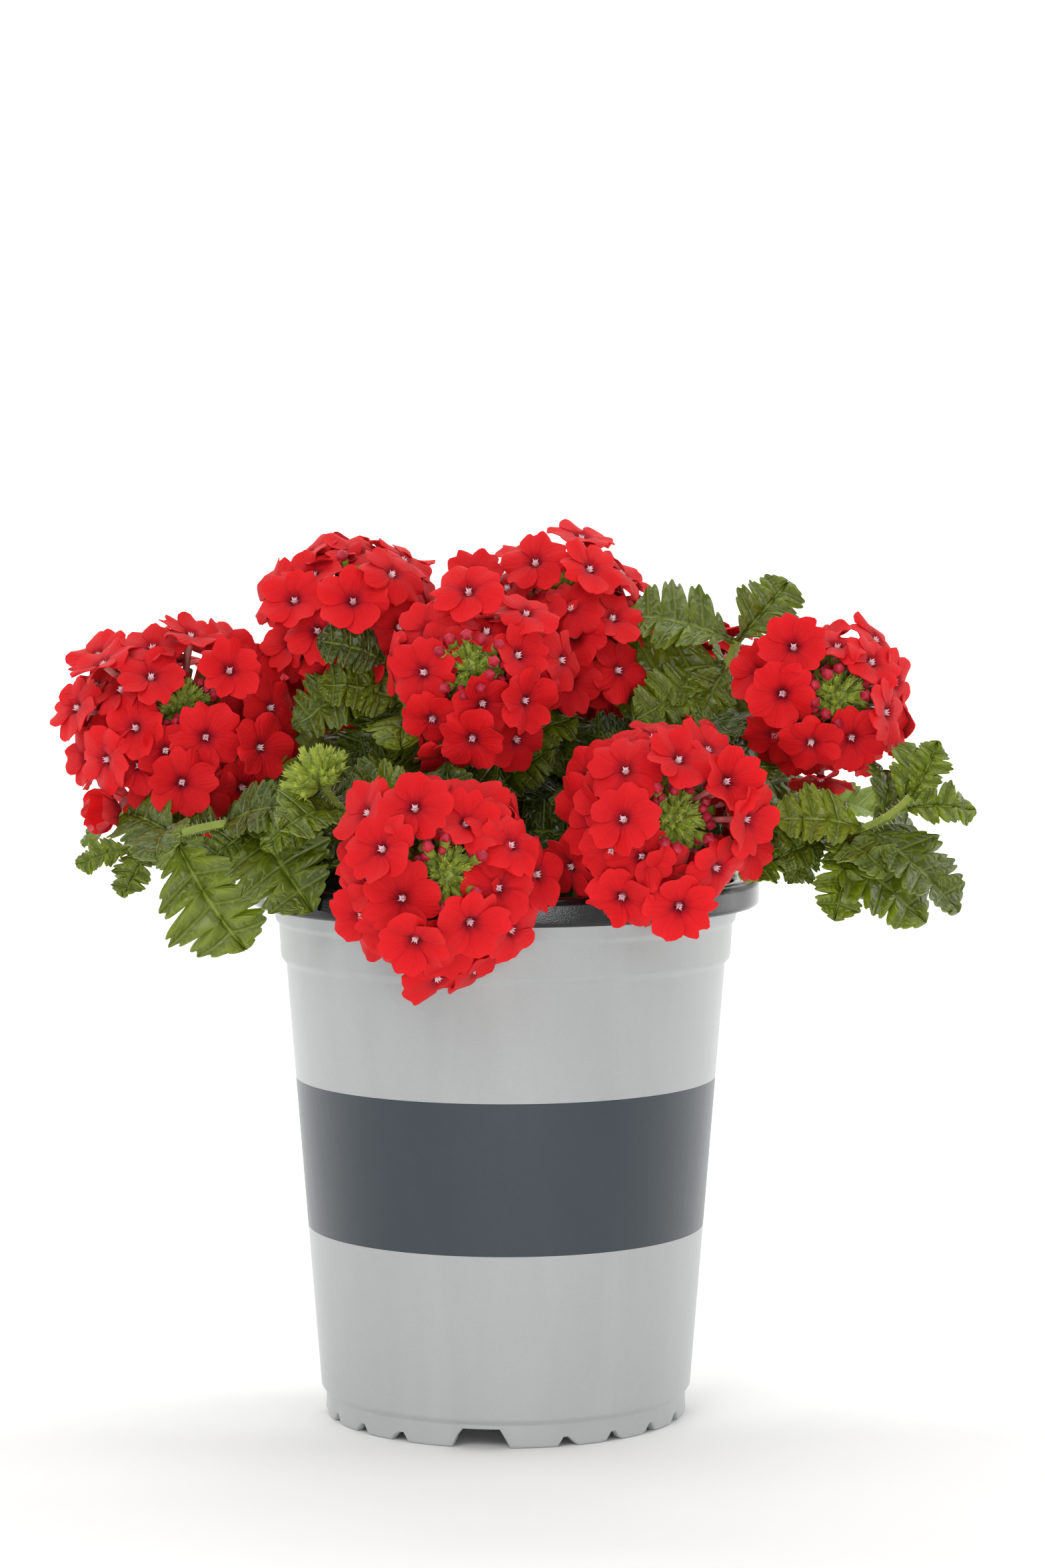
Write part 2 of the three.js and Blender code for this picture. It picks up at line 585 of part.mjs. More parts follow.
const verbena = new THREE.Group();
verbena.add(meshOf('pot', makePot(), potPlastic));
verbena.add(meshOf('potting_soil', soilWithHoles, peat));
for (const [i, head] of heads.entries()) {
  verbena.add(meshOf(`florets_${head.name}`, florets[i], petalRed));
}
for (const [i, shoot] of shoots.entries()) {
  const kind = i < heads.length ? 'flowering' : 'leafy';
  verbena.add(meshOf(`${kind}_shoot_${shoot.name}`, greens[i], leafGreen));
}

export default verbena;
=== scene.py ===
import math

import bmesh
import bpy
from mathutils import Matrix, Vector, noise


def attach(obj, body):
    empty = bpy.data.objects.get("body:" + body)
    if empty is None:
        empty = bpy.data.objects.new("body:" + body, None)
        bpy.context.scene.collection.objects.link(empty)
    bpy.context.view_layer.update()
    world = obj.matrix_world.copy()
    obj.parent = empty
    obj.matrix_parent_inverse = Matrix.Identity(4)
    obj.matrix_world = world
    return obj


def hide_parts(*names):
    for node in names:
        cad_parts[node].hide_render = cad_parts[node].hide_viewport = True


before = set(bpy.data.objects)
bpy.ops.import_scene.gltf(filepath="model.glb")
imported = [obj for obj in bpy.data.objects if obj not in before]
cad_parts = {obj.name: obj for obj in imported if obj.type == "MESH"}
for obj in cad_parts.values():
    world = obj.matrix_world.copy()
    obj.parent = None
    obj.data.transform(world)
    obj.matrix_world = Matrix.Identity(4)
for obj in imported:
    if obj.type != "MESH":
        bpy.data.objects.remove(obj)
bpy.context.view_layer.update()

mm = 0.001  # every length below is in millimetres until a mesh is finished
goldenAngle = math.pi * (3 - math.sqrt(5))

# Where the plant grows, as in the part's source. Flower heads: middle and axis of the dome, its
# radius, the florets on its front (mm to the right of the middle, mm above it), the stem's foot on
# the soil, how high it rises before it leans, and the leaves: place on the stem, compass angle,
# angle above level, length. A leaf in "pairs" has an equal one opposite, "tips" are the small leaves
# at the end of a shoot, and "fresh" makes the leaves of a young shoot a brighter green.
heads = [
    {"name": "left", "centre": (-79.5, 2, 167), "axis": (0.1, -0.8, 0.5), "radius": 26,
     "florets": [(3.6, 24.8), (-17.3, 16.6), (-6, 16), (12.7, 14.7), (-10.3, 2.3), (9, -0.5),
                 (-24, 6), (2.4, -10.6), (23.1, 6.2), (0.8, -21.7), (-14.5, -17.9)],
     "foot": (-21, -3), "rise": 26, "pairs": [(0.62, 80, 10, 28)]},
    {"name": "top_left", "centre": (-36, 6, 193), "axis": (0.1, -0.68, 0.72), "radius": 21.5,
     "florets": [(-12.7, 15), (-14, 6), (-9.3, -1), (-0.5, 6), (8.5, 12), (13, 18)],
     "foot": (-9, 9), "rise": 30, "pairs": [(0.62, 60, 20, 28)]},
    {"name": "top_right", "centre": (12, 6, 190.8), "axis": (0.05, -0.5, 0.86), "radius": 23,
     "florets": [(-19.2, 14), (-4.7, 17), (8, 15), (-6.4, 5), (19.4, 17.6), (5.2, 0)],
     "foot": (6, 11), "rise": 30, "pairs": [(0.62, 100, 20, 28)]},
    {"name": "centre", "centre": (-7.5, -30, 181.5), "axis": (-0.05, -0.95, 0.28), "radius": 19.8,
     "florets": [(-13.8, 14.5), (-1, 18.8), (13.5, 7.1), (13.8, -5.5), (-0.2, -13.5), (-10.5, -10.5),
                 (-14, 1.9)],
     "foot": (-3, -7), "rise": 40, "pairs": [(0.5, 5, 25, 25)], "leaves": [(0.35, -60, 45, 22)]},
    {"name": "right", "centre": (77, -20, 175.2), "axis": (0.17, -0.97, 0.16), "radius": 19,
     "florets": [(-8.6, 13), (2, 16.5), (11.5, 11.5), (-12, 2.5), (-5, -9), (6, -10), (14, -2),
                 (-2, -19), (13, -14)],
     "foot": (21, -4), "rise": 34, "pairs": [(0.58, 75, 10, 28)], "leaves": [(0.6, -30, -50, 34)]},
    {"name": "front", "centre": (-14.8, -66, 137), "axis": (0.16, -0.97, 0.14), "radius": 22,
     "florets": [(-5, 16.4), (7.4, 16.1), (-12, 8), (17.2, 9.1), (-19, 0.9), (-9.9, -3.5), (16.3, -1),
                 (-5.2, -12), (8.5, -10), (0, -20.5)],
     "foot": (-8, -20), "rise": 32, "pairs": [(0.36, 175, 30, 20)], "leaves": [(0.55, 10, 15, 22)]},
    {"name": "front_right", "centre": (35.5, -48, 149), "axis": (0.3, -0.94, 0.1), "radius": 22,
     "florets": [(4.5, 15.2), (-8, 13), (-18.3, 12.4), (-8, 2), (-5, -8.5), (4.3, -17.5),
                 (14.4, -11), (19.1, 0.9), (14.7, 9.5)],
     "foot": (10, -18), "rise": 34, "pairs": [(0.4, -10, 20, 22)], "leaves": [(0.62, 150, 40, 24)]},
    {"name": "back_right", "centre": (50, 40, 170), "axis": (0.4, 0.6, 0.6), "radius": 21,
     "florets": [], "foot": (17, 13), "rise": 28, "pairs": [(0.42, -40, 10, 28), (0.64, 50, 5, 28)]},
    {"name": "back_left", "centre": (-48, 44, 168), "axis": (-0.35, 0.6, 0.65), "radius": 21,
     "florets": [], "foot": (-17, 16), "rise": 28, "pairs": [(0.42, 60, 15, 28), (0.66, 140, 5, 28)]},
    {"name": "back", "centre": (6, 56, 158), "axis": (0.1, 0.85, 0.5), "radius": 22,
     "florets": [], "foot": (3, 25), "rise": 30, "pairs": [(0.45, 15, 20, 26), (0.66, 100, 20, 24)]},
]

# Shoots with leaves only: where the stem ends and its direction there.
leafyShoots = [
    {"name": "bud", "foot": (-15, -18), "rise": 24, "end": (-43, -42, 157), "axis": (-0.45, -0.35, 0.8),
     "budHead": 7.6, "pairs": [(0.5, 20, 20, 18)],
     "leaves": [(0.88, 205, -18, 21), (0.8, 10, 55, 19), (0.8, -20, 10, 14), (0.6, 250, -15, 19)]},
    {"name": "low_left", "foot": (-27, -14), "rise": 38, "end": (-88, -33, 141),
     "axis": (-0.9, -0.2, -0.3), "fresh": 0.25, "pairs": [],
     "leaves": [(0.86, -48, -56, 34), (0.6, -72, -14, 33), (0.85, 120, 30, 24), (1, 190, 0, 14),
                (0.92, 215, -35, 16), (0.7, -20, 25, 22)]},
    {"name": "upper_left", "foot": (-12, -11), "rise": 40, "end": (-28, -12, 184), "axis": (-0.3, -0.2, 0.9),
     "pairs": [(0.76, -100, 5, 24)],
     "leaves": [(0.97, 197, -22, 28), (1, 222, 30, 20), (0.9, 172, -5, 26), (0.85, 240, -40, 24)]},
    {"name": "upper_right", "foot": (14, 1), "rise": 44, "end": (56, -6, 189),
     "axis": (0.3, -0.1, 0.95), "pairs": [(0.5, 80, 15, 26)],
     "leaves": [(1, 192, 26, 28), (1, 35, 40, 24), (0.93, 190, 2, 31), (0.93, 235, -35, 21),
                (0.86, -37, -42, 30), (0.86, 60, 20, 24)]},
    {"name": "right", "foot": (27, -11), "rise": 30, "end": (95, -42, 154), "axis": (0.6, -0.25, 0.75),
     "fresh": 0.45, "pairs": [],
     "leaves": [(0.84, -26, -32, 30), (0.7, -28, -20, 32), (0.76, -60, -40, 22), (0.72, 225, 0, 16),
                (0.78, 130, 35, 25), (0.9, 100, 50, 20), (0.96, 50, 65, 18), (0.95, -15, 10, 19)],
     "tips": [(1, -8, 25, 15), (1, 35, 45, 13), (0.7, 205, -20, 13)]},
    {"name": "back_right", "foot": (25, 19), "rise": 24, "end": (76, 52, 148), "axis": (0.8, 0.5, 0.1),
     "pairs": [(0.7, -40, 0, 28)], "leaves": [(1, 10, -5, 26), (1, 70, -25, 26)]},
    {"name": "back_left", "foot": (-26, 8), "rise": 24, "end": (-84, 44, 147), "axis": (-0.8, 0.5, 0.1),
     "pairs": [(0.7, 70, 0, 28)], "leaves": [(1, 172, -8, 28), (1, 115, -30, 26)]},
    {"name": "back", "foot": (-8, 30), "rise": 22, "end": (-28, 71.5, 143), "axis": (-0.3, 0.9, 0.1),
     "pairs": [(0.72, 15, 0, 26)], "leaves": [(1, 75, -12, 29), (1, 130, -25, 26)]},
]


def wobble(seed):  # a repeatable number between -1 and 1
    wave = math.sin(seed * 12.9898 + 4.1414) * 43758.5453
    return 2 * (wave - math.floor(wave)) - 1


def smooth(low, high, value):
    share = min(1.0, max(0.0, (value - low) / (high - low)))
    return share * share * (3 - 2 * share)


def acrossAxis(axis):  # two directions square to an axis
    first = axis.cross(Vector((0.31, 0.12, 0.94))).normalized()
    return first, axis.cross(first)


def around(axis, polar, turn):  # the direction at an angle from an axis, turned about it
    first, second = acrossAxis(axis)
    return (axis * math.cos(polar) + first * (math.sin(polar) * math.cos(turn))
            + second * (math.sin(polar) * math.sin(turn)))


# Leaf outline, shared by the blades and their veins: the blade starts at a share of the length,
# and notches at an even pitch cut it into round lobes that point forward, each with three teeth
leafForm = {"rows": 64, "lobeRows": 16, "bareRows": 12, "bladeStart": 0.1, "halfShare": 0.46,
            "widening": 0.45, "narrowing": 0.64, "notchDepths": (0.15, 0.42, 0.52, 0.5, 0.15),
            "notchVaries": 0.15, "lobeRound": 2.3, "lobeSkew": 0.06, "lobeVaries": 0.1,
            "teeth": 3, "tooth": 0.24, "toothRound": 0.5, "slope": 0.4, "slopeFade": 0.55,
            "shift": 0.02, "puff": 1.4, "groove": 0.8, "grooveWidth": 0.16, "wave": 0.9, "curl": 0.9,
            "curlLength": 28, "twist": 0.35, "lumps": 0.4, "lumpPitch": 3, "thickness": 0.35,
            "stalk": 0.95, "stalkTaper": 0.7, "stalkEnd": 0.12, "stalkThick": 2.5}
leafForm["lobePitch"] = leafForm["lobeRows"] / leafForm["rows"]
leafForm["firstNotch"] = leafForm["bareRows"] / leafForm["rows"]

# Petal and floret, shared by the corollas and the veins of their petals
petal = {"length": 8.5, "halfWidth": 4.1, "thickness": 0.28, "claw": 0.7, "clawWidth": 0.16,
         "clawDip": 1.3, "notch": 0.1, "notchWidth": 0.2, "shoulder": 0.26, "frill": 0.022,
         "fineFrill": 0.008, "overlap": 0.65, "ruffle": 0.65, "arch": 0.5, "droop": 0.25,
         "tilt": 0.4, "rise": 3.1, "lower": 4.0, "lowSize": 0.92, "lowShade": 0.7, "faceAxis": 0.48,
         "sizeVaries": 0.07, "lengthVaries": 0.05, "widthVaries": 0.08, "notchVaries": 0.7, "skew": 0.2,
         "cup": 0.05, "cupVaries": 0.2, "petalCupVaries": 0.13, "sunk": 0.6,
         "tubeRoot": 5, "tubeRadius": 0.5, "throatRadius": 0.85, "throatDepth": 1.1,
         "hairs": 8, "hairLength": 1.1, "hairRadius": 0.34, "hairSunk": 0.9, "hairRing": 0.35,
         "hairLean": 0.15, "hairSpread": 0.45}


# Materials. The size of a pattern is given in millimetres, because its texture reads metres.


def hexToLinear(text):
    channels = [int(text[i:i + 2], 16) / 255 for i in (1, 3, 5)]
    return (*[c / 12.92 if c <= 0.04045 else ((c + 0.055) / 1.055) ** 2.4 for c in channels], 1.0)


def patternScale(size):
    return 1 / (size * mm)


def setInputs(tree, node, inputs):  # another node's output is linked, anything else is a fixed value
    for name, value in inputs.items():
        if isinstance(value, bpy.types.NodeSocket):
            tree.links.new(value, node.inputs[name])
        else:
            node.inputs[name].default_value = value


def addNode(tree, kind, inputs, output=0, stops=(), **settings):
    node = tree.nodes.new("ShaderNode" + kind)
    for name, value in settings.items():
        setattr(node, name, value)
    for number, (place, colour) in enumerate(stops):  # a ramp comes with two stops
        elements = node.color_ramp.elements
        element = elements[number] if number < 2 else elements.new(place)
        element.position, element.color = place, hexToLinear(colour)
    setInputs(tree, node, inputs)
    return node.outputs[output]


def newMaterial(name, shaderInputs):
    material = bpy.data.materials.new(name)
    material.use_nodes = True
    tree = material.node_tree
    shader = tree.nodes["Principled BSDF"]
    setInputs(tree, shader, shaderInputs)
    return material, tree, shader


def bladeParts(tree):  # where a point lies on its blade, and the same split: along, across and tint
    blade = addNode(tree, "Attribute", {}, "Vector", attribute_name="blade")
    return blade, *addNode(tree, "SeparateXYZ", {"Vector": blade}).node.outputs


# Living petal, thin and velvety: little gloss, light soaks in and warms it, darker at the throat.
# Its veins run out from the throat. Mottling and grain are coarser than its cells, so that they show.
# The darker crimson is aged tone at random, and painted shade on the florets that sit below the others.
petalLook = {"roughness": 0.62, "gloss": 0.14, "sheen": 0.02, "glow": 0.2, "veinPitch": 0.586,
             "veinLength": 6.07, "mottle": 6.25, "mottled": 0.2475, "agedAndShaded": 0.165,
             "agedAndShadedColour": "#a80c14", "grain": 0.385}


def makePetalMaterial(name, stops, veinColour):
    material, tree, shader = newMaterial(name, {
        "Roughness": petalLook["roughness"], "Specular IOR Level": petalLook["gloss"],
        "Sheen Weight": petalLook["sheen"], "Sheen Roughness": 0.5,
        "Subsurface Weight": petalLook["glow"], "Subsurface Scale": 1.2 * mm,
        "Subsurface Radius": (1.0, 0.12, 0.08)})
    blade, along, across, tint = bladeParts(tree)
    base = addNode(tree, "ValToRGB", {"Fac": along}, stops=stops)
    # noise drawn out along the petal, and another part of it for each petal
    streaks = (petal["length"] / petalLook["veinLength"], petal["halfWidth"] / petalLook["veinPitch"], 37)
    point = addNode(tree, "VectorMath", {0: blade, 1: streaks}, operation="MULTIPLY")
    veins = addNode(tree, "TexNoise", {"Vector": point, "Scale": 1.0, "Detail": 3.0})
    lines = addNode(tree, "MapRange", {"Value": veins, "From Min": 0.45, "From Max": 0.75})
    fade = addNode(tree, "MapRange", {
        "Value": along, "From Min": 0.1, "From Max": 0.6, "To Min": 0.5, "To Max": 0.04})
    faded = addNode(tree, "Math", {0: lines, 1: fade}, operation="MULTIPLY")
    veined = addNode(tree, "Mix", {0: faded, 6: base, 7: hexToLinear(veinColour)}, 2, data_type="RGBA")
    coords = addNode(tree, "TexCoord", {}, "Object")
    mottle = addNode(tree, "TexNoise", {
        "Vector": coords, "Scale": patternScale(petalLook["mottle"]), "Detail": 2.0})
    # share of darker crimson: tint and mottling give aged tone at random, and the raised tint of the lower
    # florets gives painted shade
    mottled = addNode(tree, "Math", {0: mottle, 1: petalLook["mottled"]}, operation="MULTIPLY")
    agedAndShaded = addNode(tree, "Math", {0: tint, 1: petalLook["agedAndShaded"], 2: mottled}, operation="MULTIPLY_ADD")
    shaded = addNode(tree, "Mix", {0: agedAndShaded, 6: veined, 7: hexToLinear(petalLook["agedAndShadedColour"])}, 2,
                     data_type="RGBA")
    grain = addNode(tree, "TexNoise", {
        "Vector": coords, "Scale": patternScale(petalLook["grain"]), "Detail": 1.0})
    fine = addNode(tree, "Math", {0: grain, 1: 0.4}, operation="MULTIPLY")
    height = addNode(tree, "Math", {0: lines, 1: 0.8, 2: fine}, operation="MULTIPLY_ADD")
    bump = addNode(tree, "Bump", {"Strength": 0.7, "Distance": 0.2 * mm, "Height": height})
    setInputs(tree, shader, {"Base Color": shaded, "Normal": bump})
    return material


# Living leaf: waxy green skin puffed up between sunken veins, with painted shade in the hollows beside them,
# and light passing through the blade.
# The net of small veins is coarser than life, so that it shows; its cells are those of a middling leaf.
leafLook = {"roughness": 0.33, "underRoughness": 0.6, "gloss": 0.48, "length": 26, "netPitch": 2.6,
            "netAcross": 0.4, "veins": 0.4, "blotch": 7.14}


def makeLeafMaterial(name, dark, fresh, veinColour, roughness, relief):
    material, tree, shader = newMaterial(name, {
        "Roughness": roughness, "Specular IOR Level": leafLook["gloss"], "Subsurface Weight": 0.12,
        "Subsurface Scale": 0.8 * mm, "Subsurface Radius": (0.5, 1.0, 0.15)})
    blade, along, across, tint = bladeParts(tree)
    side = addNode(tree, "Math", {0: across}, operation="ABSOLUTE")
    # a side vein runs out along the middle of each lobe
    firstVein = leafForm["firstNotch"] + leafForm["lobePitch"] / 2
    past = addNode(tree, "Math", {0: along, 1: firstVein}, operation="SUBTRACT")
    lobes = addNode(tree, "Math", {0: past, 1: leafForm["lobePitch"]}, operation="DIVIDE")
    ripple = addNode(tree, "Math", {0: lobes, 1: 0.5}, operation="PINGPONG")
    cells = addNode(tree, "VectorMath", {0: blade, 1: (1, leafLook["netAcross"], 9)},
                    operation="MULTIPLY")
    net = addNode(tree, "TexVoronoi", {
        "Vector": cells, "Scale": leafLook["length"] / leafLook["netPitch"]}, feature="DISTANCE_TO_EDGE")
    # lines, and painted shade in the hollows beside the veins, fade from a near to a far distance, from one
    # strength to another
    sideVein, midVein, netVein, margin, sideGrooveShade, midGrooveShade = [
        addNode(tree, "MapRange", {
            "Value": distance, "From Min": near, "From Max": far, "To Min": first, "To Max": last})
        for distance, near, far, first, last in (
            (ripple, 0.0, 0.08, 0.8, 0.0), (side, 0.02, 0.08, 1.0, 0.0), (net, 0.0, 0.09, 0.4, 0.0),
            (side, 0.95, 1.0, 0.0, 0.7), (ripple, 0.06, 0.34, 0.55, 0.0), (side, 0.06, 0.3, 0.55, 0.0))]
    mainVeins = addNode(tree, "Math", {0: midVein, 1: sideVein}, operation="MAXIMUM")
    grooveShade = addNode(tree, "Math", {0: sideGrooveShade, 1: midGrooveShade}, operation="MAXIMUM")
    netted = addNode(tree, "Math", {0: mainVeins, 1: netVein}, operation="MAXIMUM")
    veins = addNode(tree, "Math", {0: netted, 1: margin}, operation="MAXIMUM")
    coords = addNode(tree, "TexCoord", {}, "Object")
    blotch = addNode(tree, "TexNoise", {
        "Vector": coords, "Scale": patternScale(leafLook["blotch"]), "Detail": 3.0})
    young = addNode(tree, "Math", {0: tint, 1: 0.8, 2: -0.25}, operation="MULTIPLY_ADD")
    freshness = addNode(tree, "Math", {0: blotch, 1: 0.6, 2: young}, operation="MULTIPLY_ADD")
    lined = addNode(tree, "Math", {0: veins, 1: leafLook["veins"]}, operation="MULTIPLY")
    colour = hexToLinear(dark)
    # the dark green laid over the hollows beside the veins is painted shade
    for share, over in ((freshness, fresh), (grooveShade, dark), (lined, veinColour)):
        colour = addNode(tree, "Mix", {0: share, 6: colour, 7: hexToLinear(over)}, 2, data_type="RGBA")
    puffed = addNode(tree, "Math", {0: net, 1: 1.6}, operation="MULTIPLY")
    height = addNode(tree, "Math", {0: puffed, 1: mainVeins}, operation="SUBTRACT")
    bump = addNode(tree, "Bump", {"Strength": 0.8, "Distance": relief * mm, "Height": height})
    setInputs(tree, shader, {"Base Color": colour, "Normal": bump})
    return material


# Soft skin of stems, calyces, tubes and hairs, slightly blotched, paler where it is young
def makeStemMaterial(name, dark, fresh, roughness, blotchSize):
    material, tree, shader = newMaterial(name, {
        "Roughness": roughness, "Specular IOR Level": 0.4, "Subsurface Weight": 0.15,
        "Subsurface Scale": 1 * mm, "Subsurface Radius": (0.6, 1.0, 0.2)})
    coords = addNode(tree, "TexCoord", {}, "Object")
    blotch = addNode(tree, "TexNoise", {
        "Vector": coords, "Scale": patternScale(blotchSize), "Detail": 3.0})
    spread = addNode(tree, "MapRange", {"Value": blotch, "From Min": 0.3, "From Max": 0.7})
    tint = bladeParts(tree)[-1]
    young = addNode(tree, "Math", {0: tint, 1: 0.4}, operation="MULTIPLY")
    share = addNode(tree, "Math", {0: spread, 1: 0.6, 2: young}, operation="MULTIPLY_ADD")
    colour = addNode(tree, "Mix", {0: share, 6: hexToLinear(dark), 7: hexToLinear(fresh)}, 2,
                     data_type="RGBA")
    bump = addNode(tree, "Bump", {"Strength": 0.5, "Distance": 0.2 * mm, "Height": blotch})
    setInputs(tree, shader, {"Base Color": colour, "Normal": bump})
    return material


petalTop = makePetalMaterial("PetalScarlet", [
    (0.0, "#5c061a"), (0.06, "#86081c"), (0.15, "#b60b1b"), (0.3, "#d8121b"), (0.7, "#e2181e"),
    (1.0, "#ea1f25")], "#8a0618")
petalUnder = makePetalMaterial("PetalUnderside", [
    (0.0, "#a01b33"), (0.3, "#c22535"), (0.7, "#d12f36"), (1.0, "#d8383c")], "#a51d33")
leafTop = makeLeafMaterial("LeafUpperSkin", "#283604", "#74830c", "#a9ba48", leafLook["roughness"], 0.6)
leafUnder = makeLeafMaterial("LeafUnderside", "#647a24", "#96aa40", "#bfca70",
                             leafLook["underRoughness"], 0.4)
stemSkin = makeStemMaterial("StemSkin", "#6b7c2c", "#a3b14e", 0.5, 4.55)
calyxSkin = makeStemMaterial("CalyxSkin", "#62761f", "#b2c04d", 0.5, 2.38)
tubeSkin = makeStemMaterial("CorollaTube", "#b8434f", "#dc8f86", 0.55, 2.38)
budSkin = makeStemMaterial("UnopenedBud", "#990f2a", "#d02a42", 0.5, 2.38)
eyeHairs = makeStemMaterial("ThroatHairs", "#eebccb", "#fdeef1", 0.6, 1.11)
plantHairs = makeStemMaterial("PlantHairs", "#c9d3a6", "#e9edd6", 0.4, 1.11)


# Small meshes that are copied and bent to shape. Each stands in simple coordinates: a blade runs
# -1..1 along x and y, with z 0 on its underside and 1 on top; a tube and a spike run 0..1 along z.
# addShape keeps them on every point, along 0..1, across -1..1 and a tint, for the materials to read.


def toMesh(bm, name):
    mesh = bpy.data.meshes.new(name)
    bm.to_mesh(mesh)
    bm.free()
    return mesh


def bladeTemplate(name, along, across):
    bm = bmesh.new()
    bmesh.ops.create_grid(bm, x_segments=along, y_segments=across, size=1)
    raised = bmesh.ops.extrude_face_region(bm, geom=bm.faces[:])["geom"]
    tops = [item for item in raised if isinstance(item, bmesh.types.BMVert)]
    bmesh.ops.translate(bm, vec=(0, 0, 1), verts=tops)
    for face in bm.faces:
        face.material_index = 1 if all(vert.co.z < 0.5 for vert in face.verts) else 0
    return toMesh(bm, name)


def tubeTemplate(name, sides, rings, tip=1):  # with a tip of 0 it is a spike
    bm = bmesh.new()
    bmesh.ops.create_cone(bm, cap_ends=True, segments=sides, radius1=1, radius2=tip, depth=1)
    bmesh.ops.translate(bm, vec=(0, 0, 0.5), verts=bm.verts)
    if rings > 1:
        uprights = [edge for edge in bm.edges if abs(edge.verts[0].co.z - edge.verts[1].co.z) > 0.5]
        bmesh.ops.subdivide_edges(bm, edges=uprights, cuts=rings - 1)
    return toMesh(bm, name)


def ballTemplate(name, fineness):
    bm = bmesh.new()
    bmesh.ops.create_icosphere(bm, subdivisions=fineness, radius=1)
    return toMesh(bm, name)


stemRings = 22
petalGrid = bladeTemplate("petalGrid", 5, 10)
lowPetalGrid = bladeTemplate("lowPetalGrid", 4, 6)
leafGrid = bladeTemplate("leafGrid", leafForm["rows"], 8)
youngLeafGrid = bladeTemplate("youngLeafGrid", leafForm["rows"], 4)
stemTube = tubeTemplate("stemTube", 8, stemRings)
shortTube = tubeTemplate("shortTube", 6, 3)
calyxTube = tubeTemplate("calyxTube", 10, 3)
hairSpike = tubeTemplate("hairSpike", 3, 1, 0)
roundBall = ballTemplate("roundBall", 2)
crumb = ballTemplate("crumb", 1)


def addShape(bm, template, place, materialIndex, tint=0.5, underIndex=None):
    firstVert, firstFace = len(bm.verts), len(bm.faces)
    bm.from_mesh(template)
    bm.verts.ensure_lookup_table()
    bm.faces.ensure_lookup_table()
    layers = bm.verts.layers.float_vector
    layer = layers.get("blade") or layers.new("blade")
    for vert in bm.verts[firstVert:]:
        x, y, z = vert.co
        vert[layer] = ((x + 1) / 2, y, tint)
        vert.co = place(x, y, z)
    for face in bm.faces[firstFace:]:
        under = face.material_index == 1 and underIndex is not None
        face.material_index = underIndex if under else materialIndex


# Stands a tube or a spike on end, or stretches a ball along a direction
def standing(base, direction, length, baseRadius, tipRadius=None):
    first, second = acrossAxis(direction)
    tipRadius = baseRadius if tipRadius is None else tipRadius

    def place(x, y, z):
        radius = baseRadius + (tipRadius - baseRadius) * z
        return base + direction * (length * z) + first * (radius * x) + second * (radius * y)
    return place


def spun(bm, profile, steps):  # turns a profile of points round the upright axis
    verts = [bm.verts.new(point) for point in profile]
    edges = [bm.edges.new(pair) for pair in zip(verts, verts[1:])]
    bmesh.ops.spin(bm, geom=verts + edges, cent=(0, 0, 0), axis=(0, 0, 1), angle=2 * math.pi,
                   steps=steps, use_merge=True)
    bmesh.ops.remove_doubles(bm, verts=bm.verts, dist=0.001)


def finishPiece(name, bm, materials, replaced):
    bmesh.ops.recalc_face_normals(bm, faces=bm.faces)
    bmesh.ops.scale(bm, vec=(mm, mm, mm), verts=bm.verts)
    mesh = toMesh(bm, name)
    for material in materials:
        mesh.materials.append(material)
    mesh.shade_smooth()
    mesh.set_sharp_from_angle(angle=math.radians(50))
    piece = bpy.data.objects.new(name, mesh)
    bpy.context.collection.objects.link(piece)
    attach(piece, "root")
    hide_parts(replaced)


# Where each stem, floret and leaf lies: lengths and spacings in millimetres, angles in radians. The
# florets of a head are first placed one by one, and spirals then fill the dome and the room below.

growth = {"soilTop": 119.5, "rootDepth": 9, "stemLean": 1.25, "stemPull": 0.32,
          "headBall": 2, "stemBall": 5, "leafBall": 8, "bends": 12, "bendShare": 0.6,
          "leafWidth": 0.82, "leafFold": 0.2, "leafBend": 0.75, "leafLean": 1.4,
          "facingNarrow": 0.5, "facingBehind": 30, "tuftPlace": 0.66, "budHeadPlace": 0.8,
          "domeEdge": 0.97, "placedSpacing": 0.3, "spiralReach": 1.2,
          "fillFrom": 0.72, "fillSteps": 150, "fillSpacing": 11.6,
          "lowFrom": 0.7, "lowTurn": 1.3, "lowSteps": 220, "lowSpacing": 7.4,
          "budRing": 0.44, "budRings": 11, "budSpacing": 0.36}


def bezier(points, share):
    a, b, c, d = points
    rest = 1 - share
    return a * rest ** 3 + b * (3 * rest * rest * share) + c * (3 * rest * share * share) + d * share ** 3


def stemPoints(shoot):
    end, lean = shoot["end"], growth["stemLean"]
    foot = Vector((*shoot["foot"], growth["soilTop"] - growth["rootDepth"]))
    start = Vector((foot.x * lean, foot.y * lean, growth["soilTop"] + shoot["rise"]))
    return foot, start, end - shoot["axis"] * (growth["stemPull"] * (end - foot).length), end


def spiral(head, taken, start, turn, steps, spacing):  # from the axis outwards, wherever there is room
    directions = []
    for step in range(steps):
        polar = start + growth["spiralReach"] * step / steps
        direction = around(head["axis"], polar, turn + step * goldenAngle)
        if all(other.angle(direction) * head["radius"] > spacing for other in taken + directions):
            directions.append(direction)
    return directions


def floretDirections(head):  # the placed florets, and a spiral that fills what they leave
    placed = []
    radius = head["radius"]
    for right, above in head["florets"]:
        share = min(1, growth["domeEdge"] * radius / math.hypot(right, above))
        x, z = right * share, above * share
        direction = Vector((x, -math.sqrt(radius ** 2 - x ** 2 - z ** 2), z)).normalized()
        if all(other.angle(direction) > growth["placedSpacing"] for other in placed):
            placed.append(direction)
    return placed + spiral(head, placed, growth["fillFrom"], 0, growth["fillSteps"], growth["fillSpacing"])


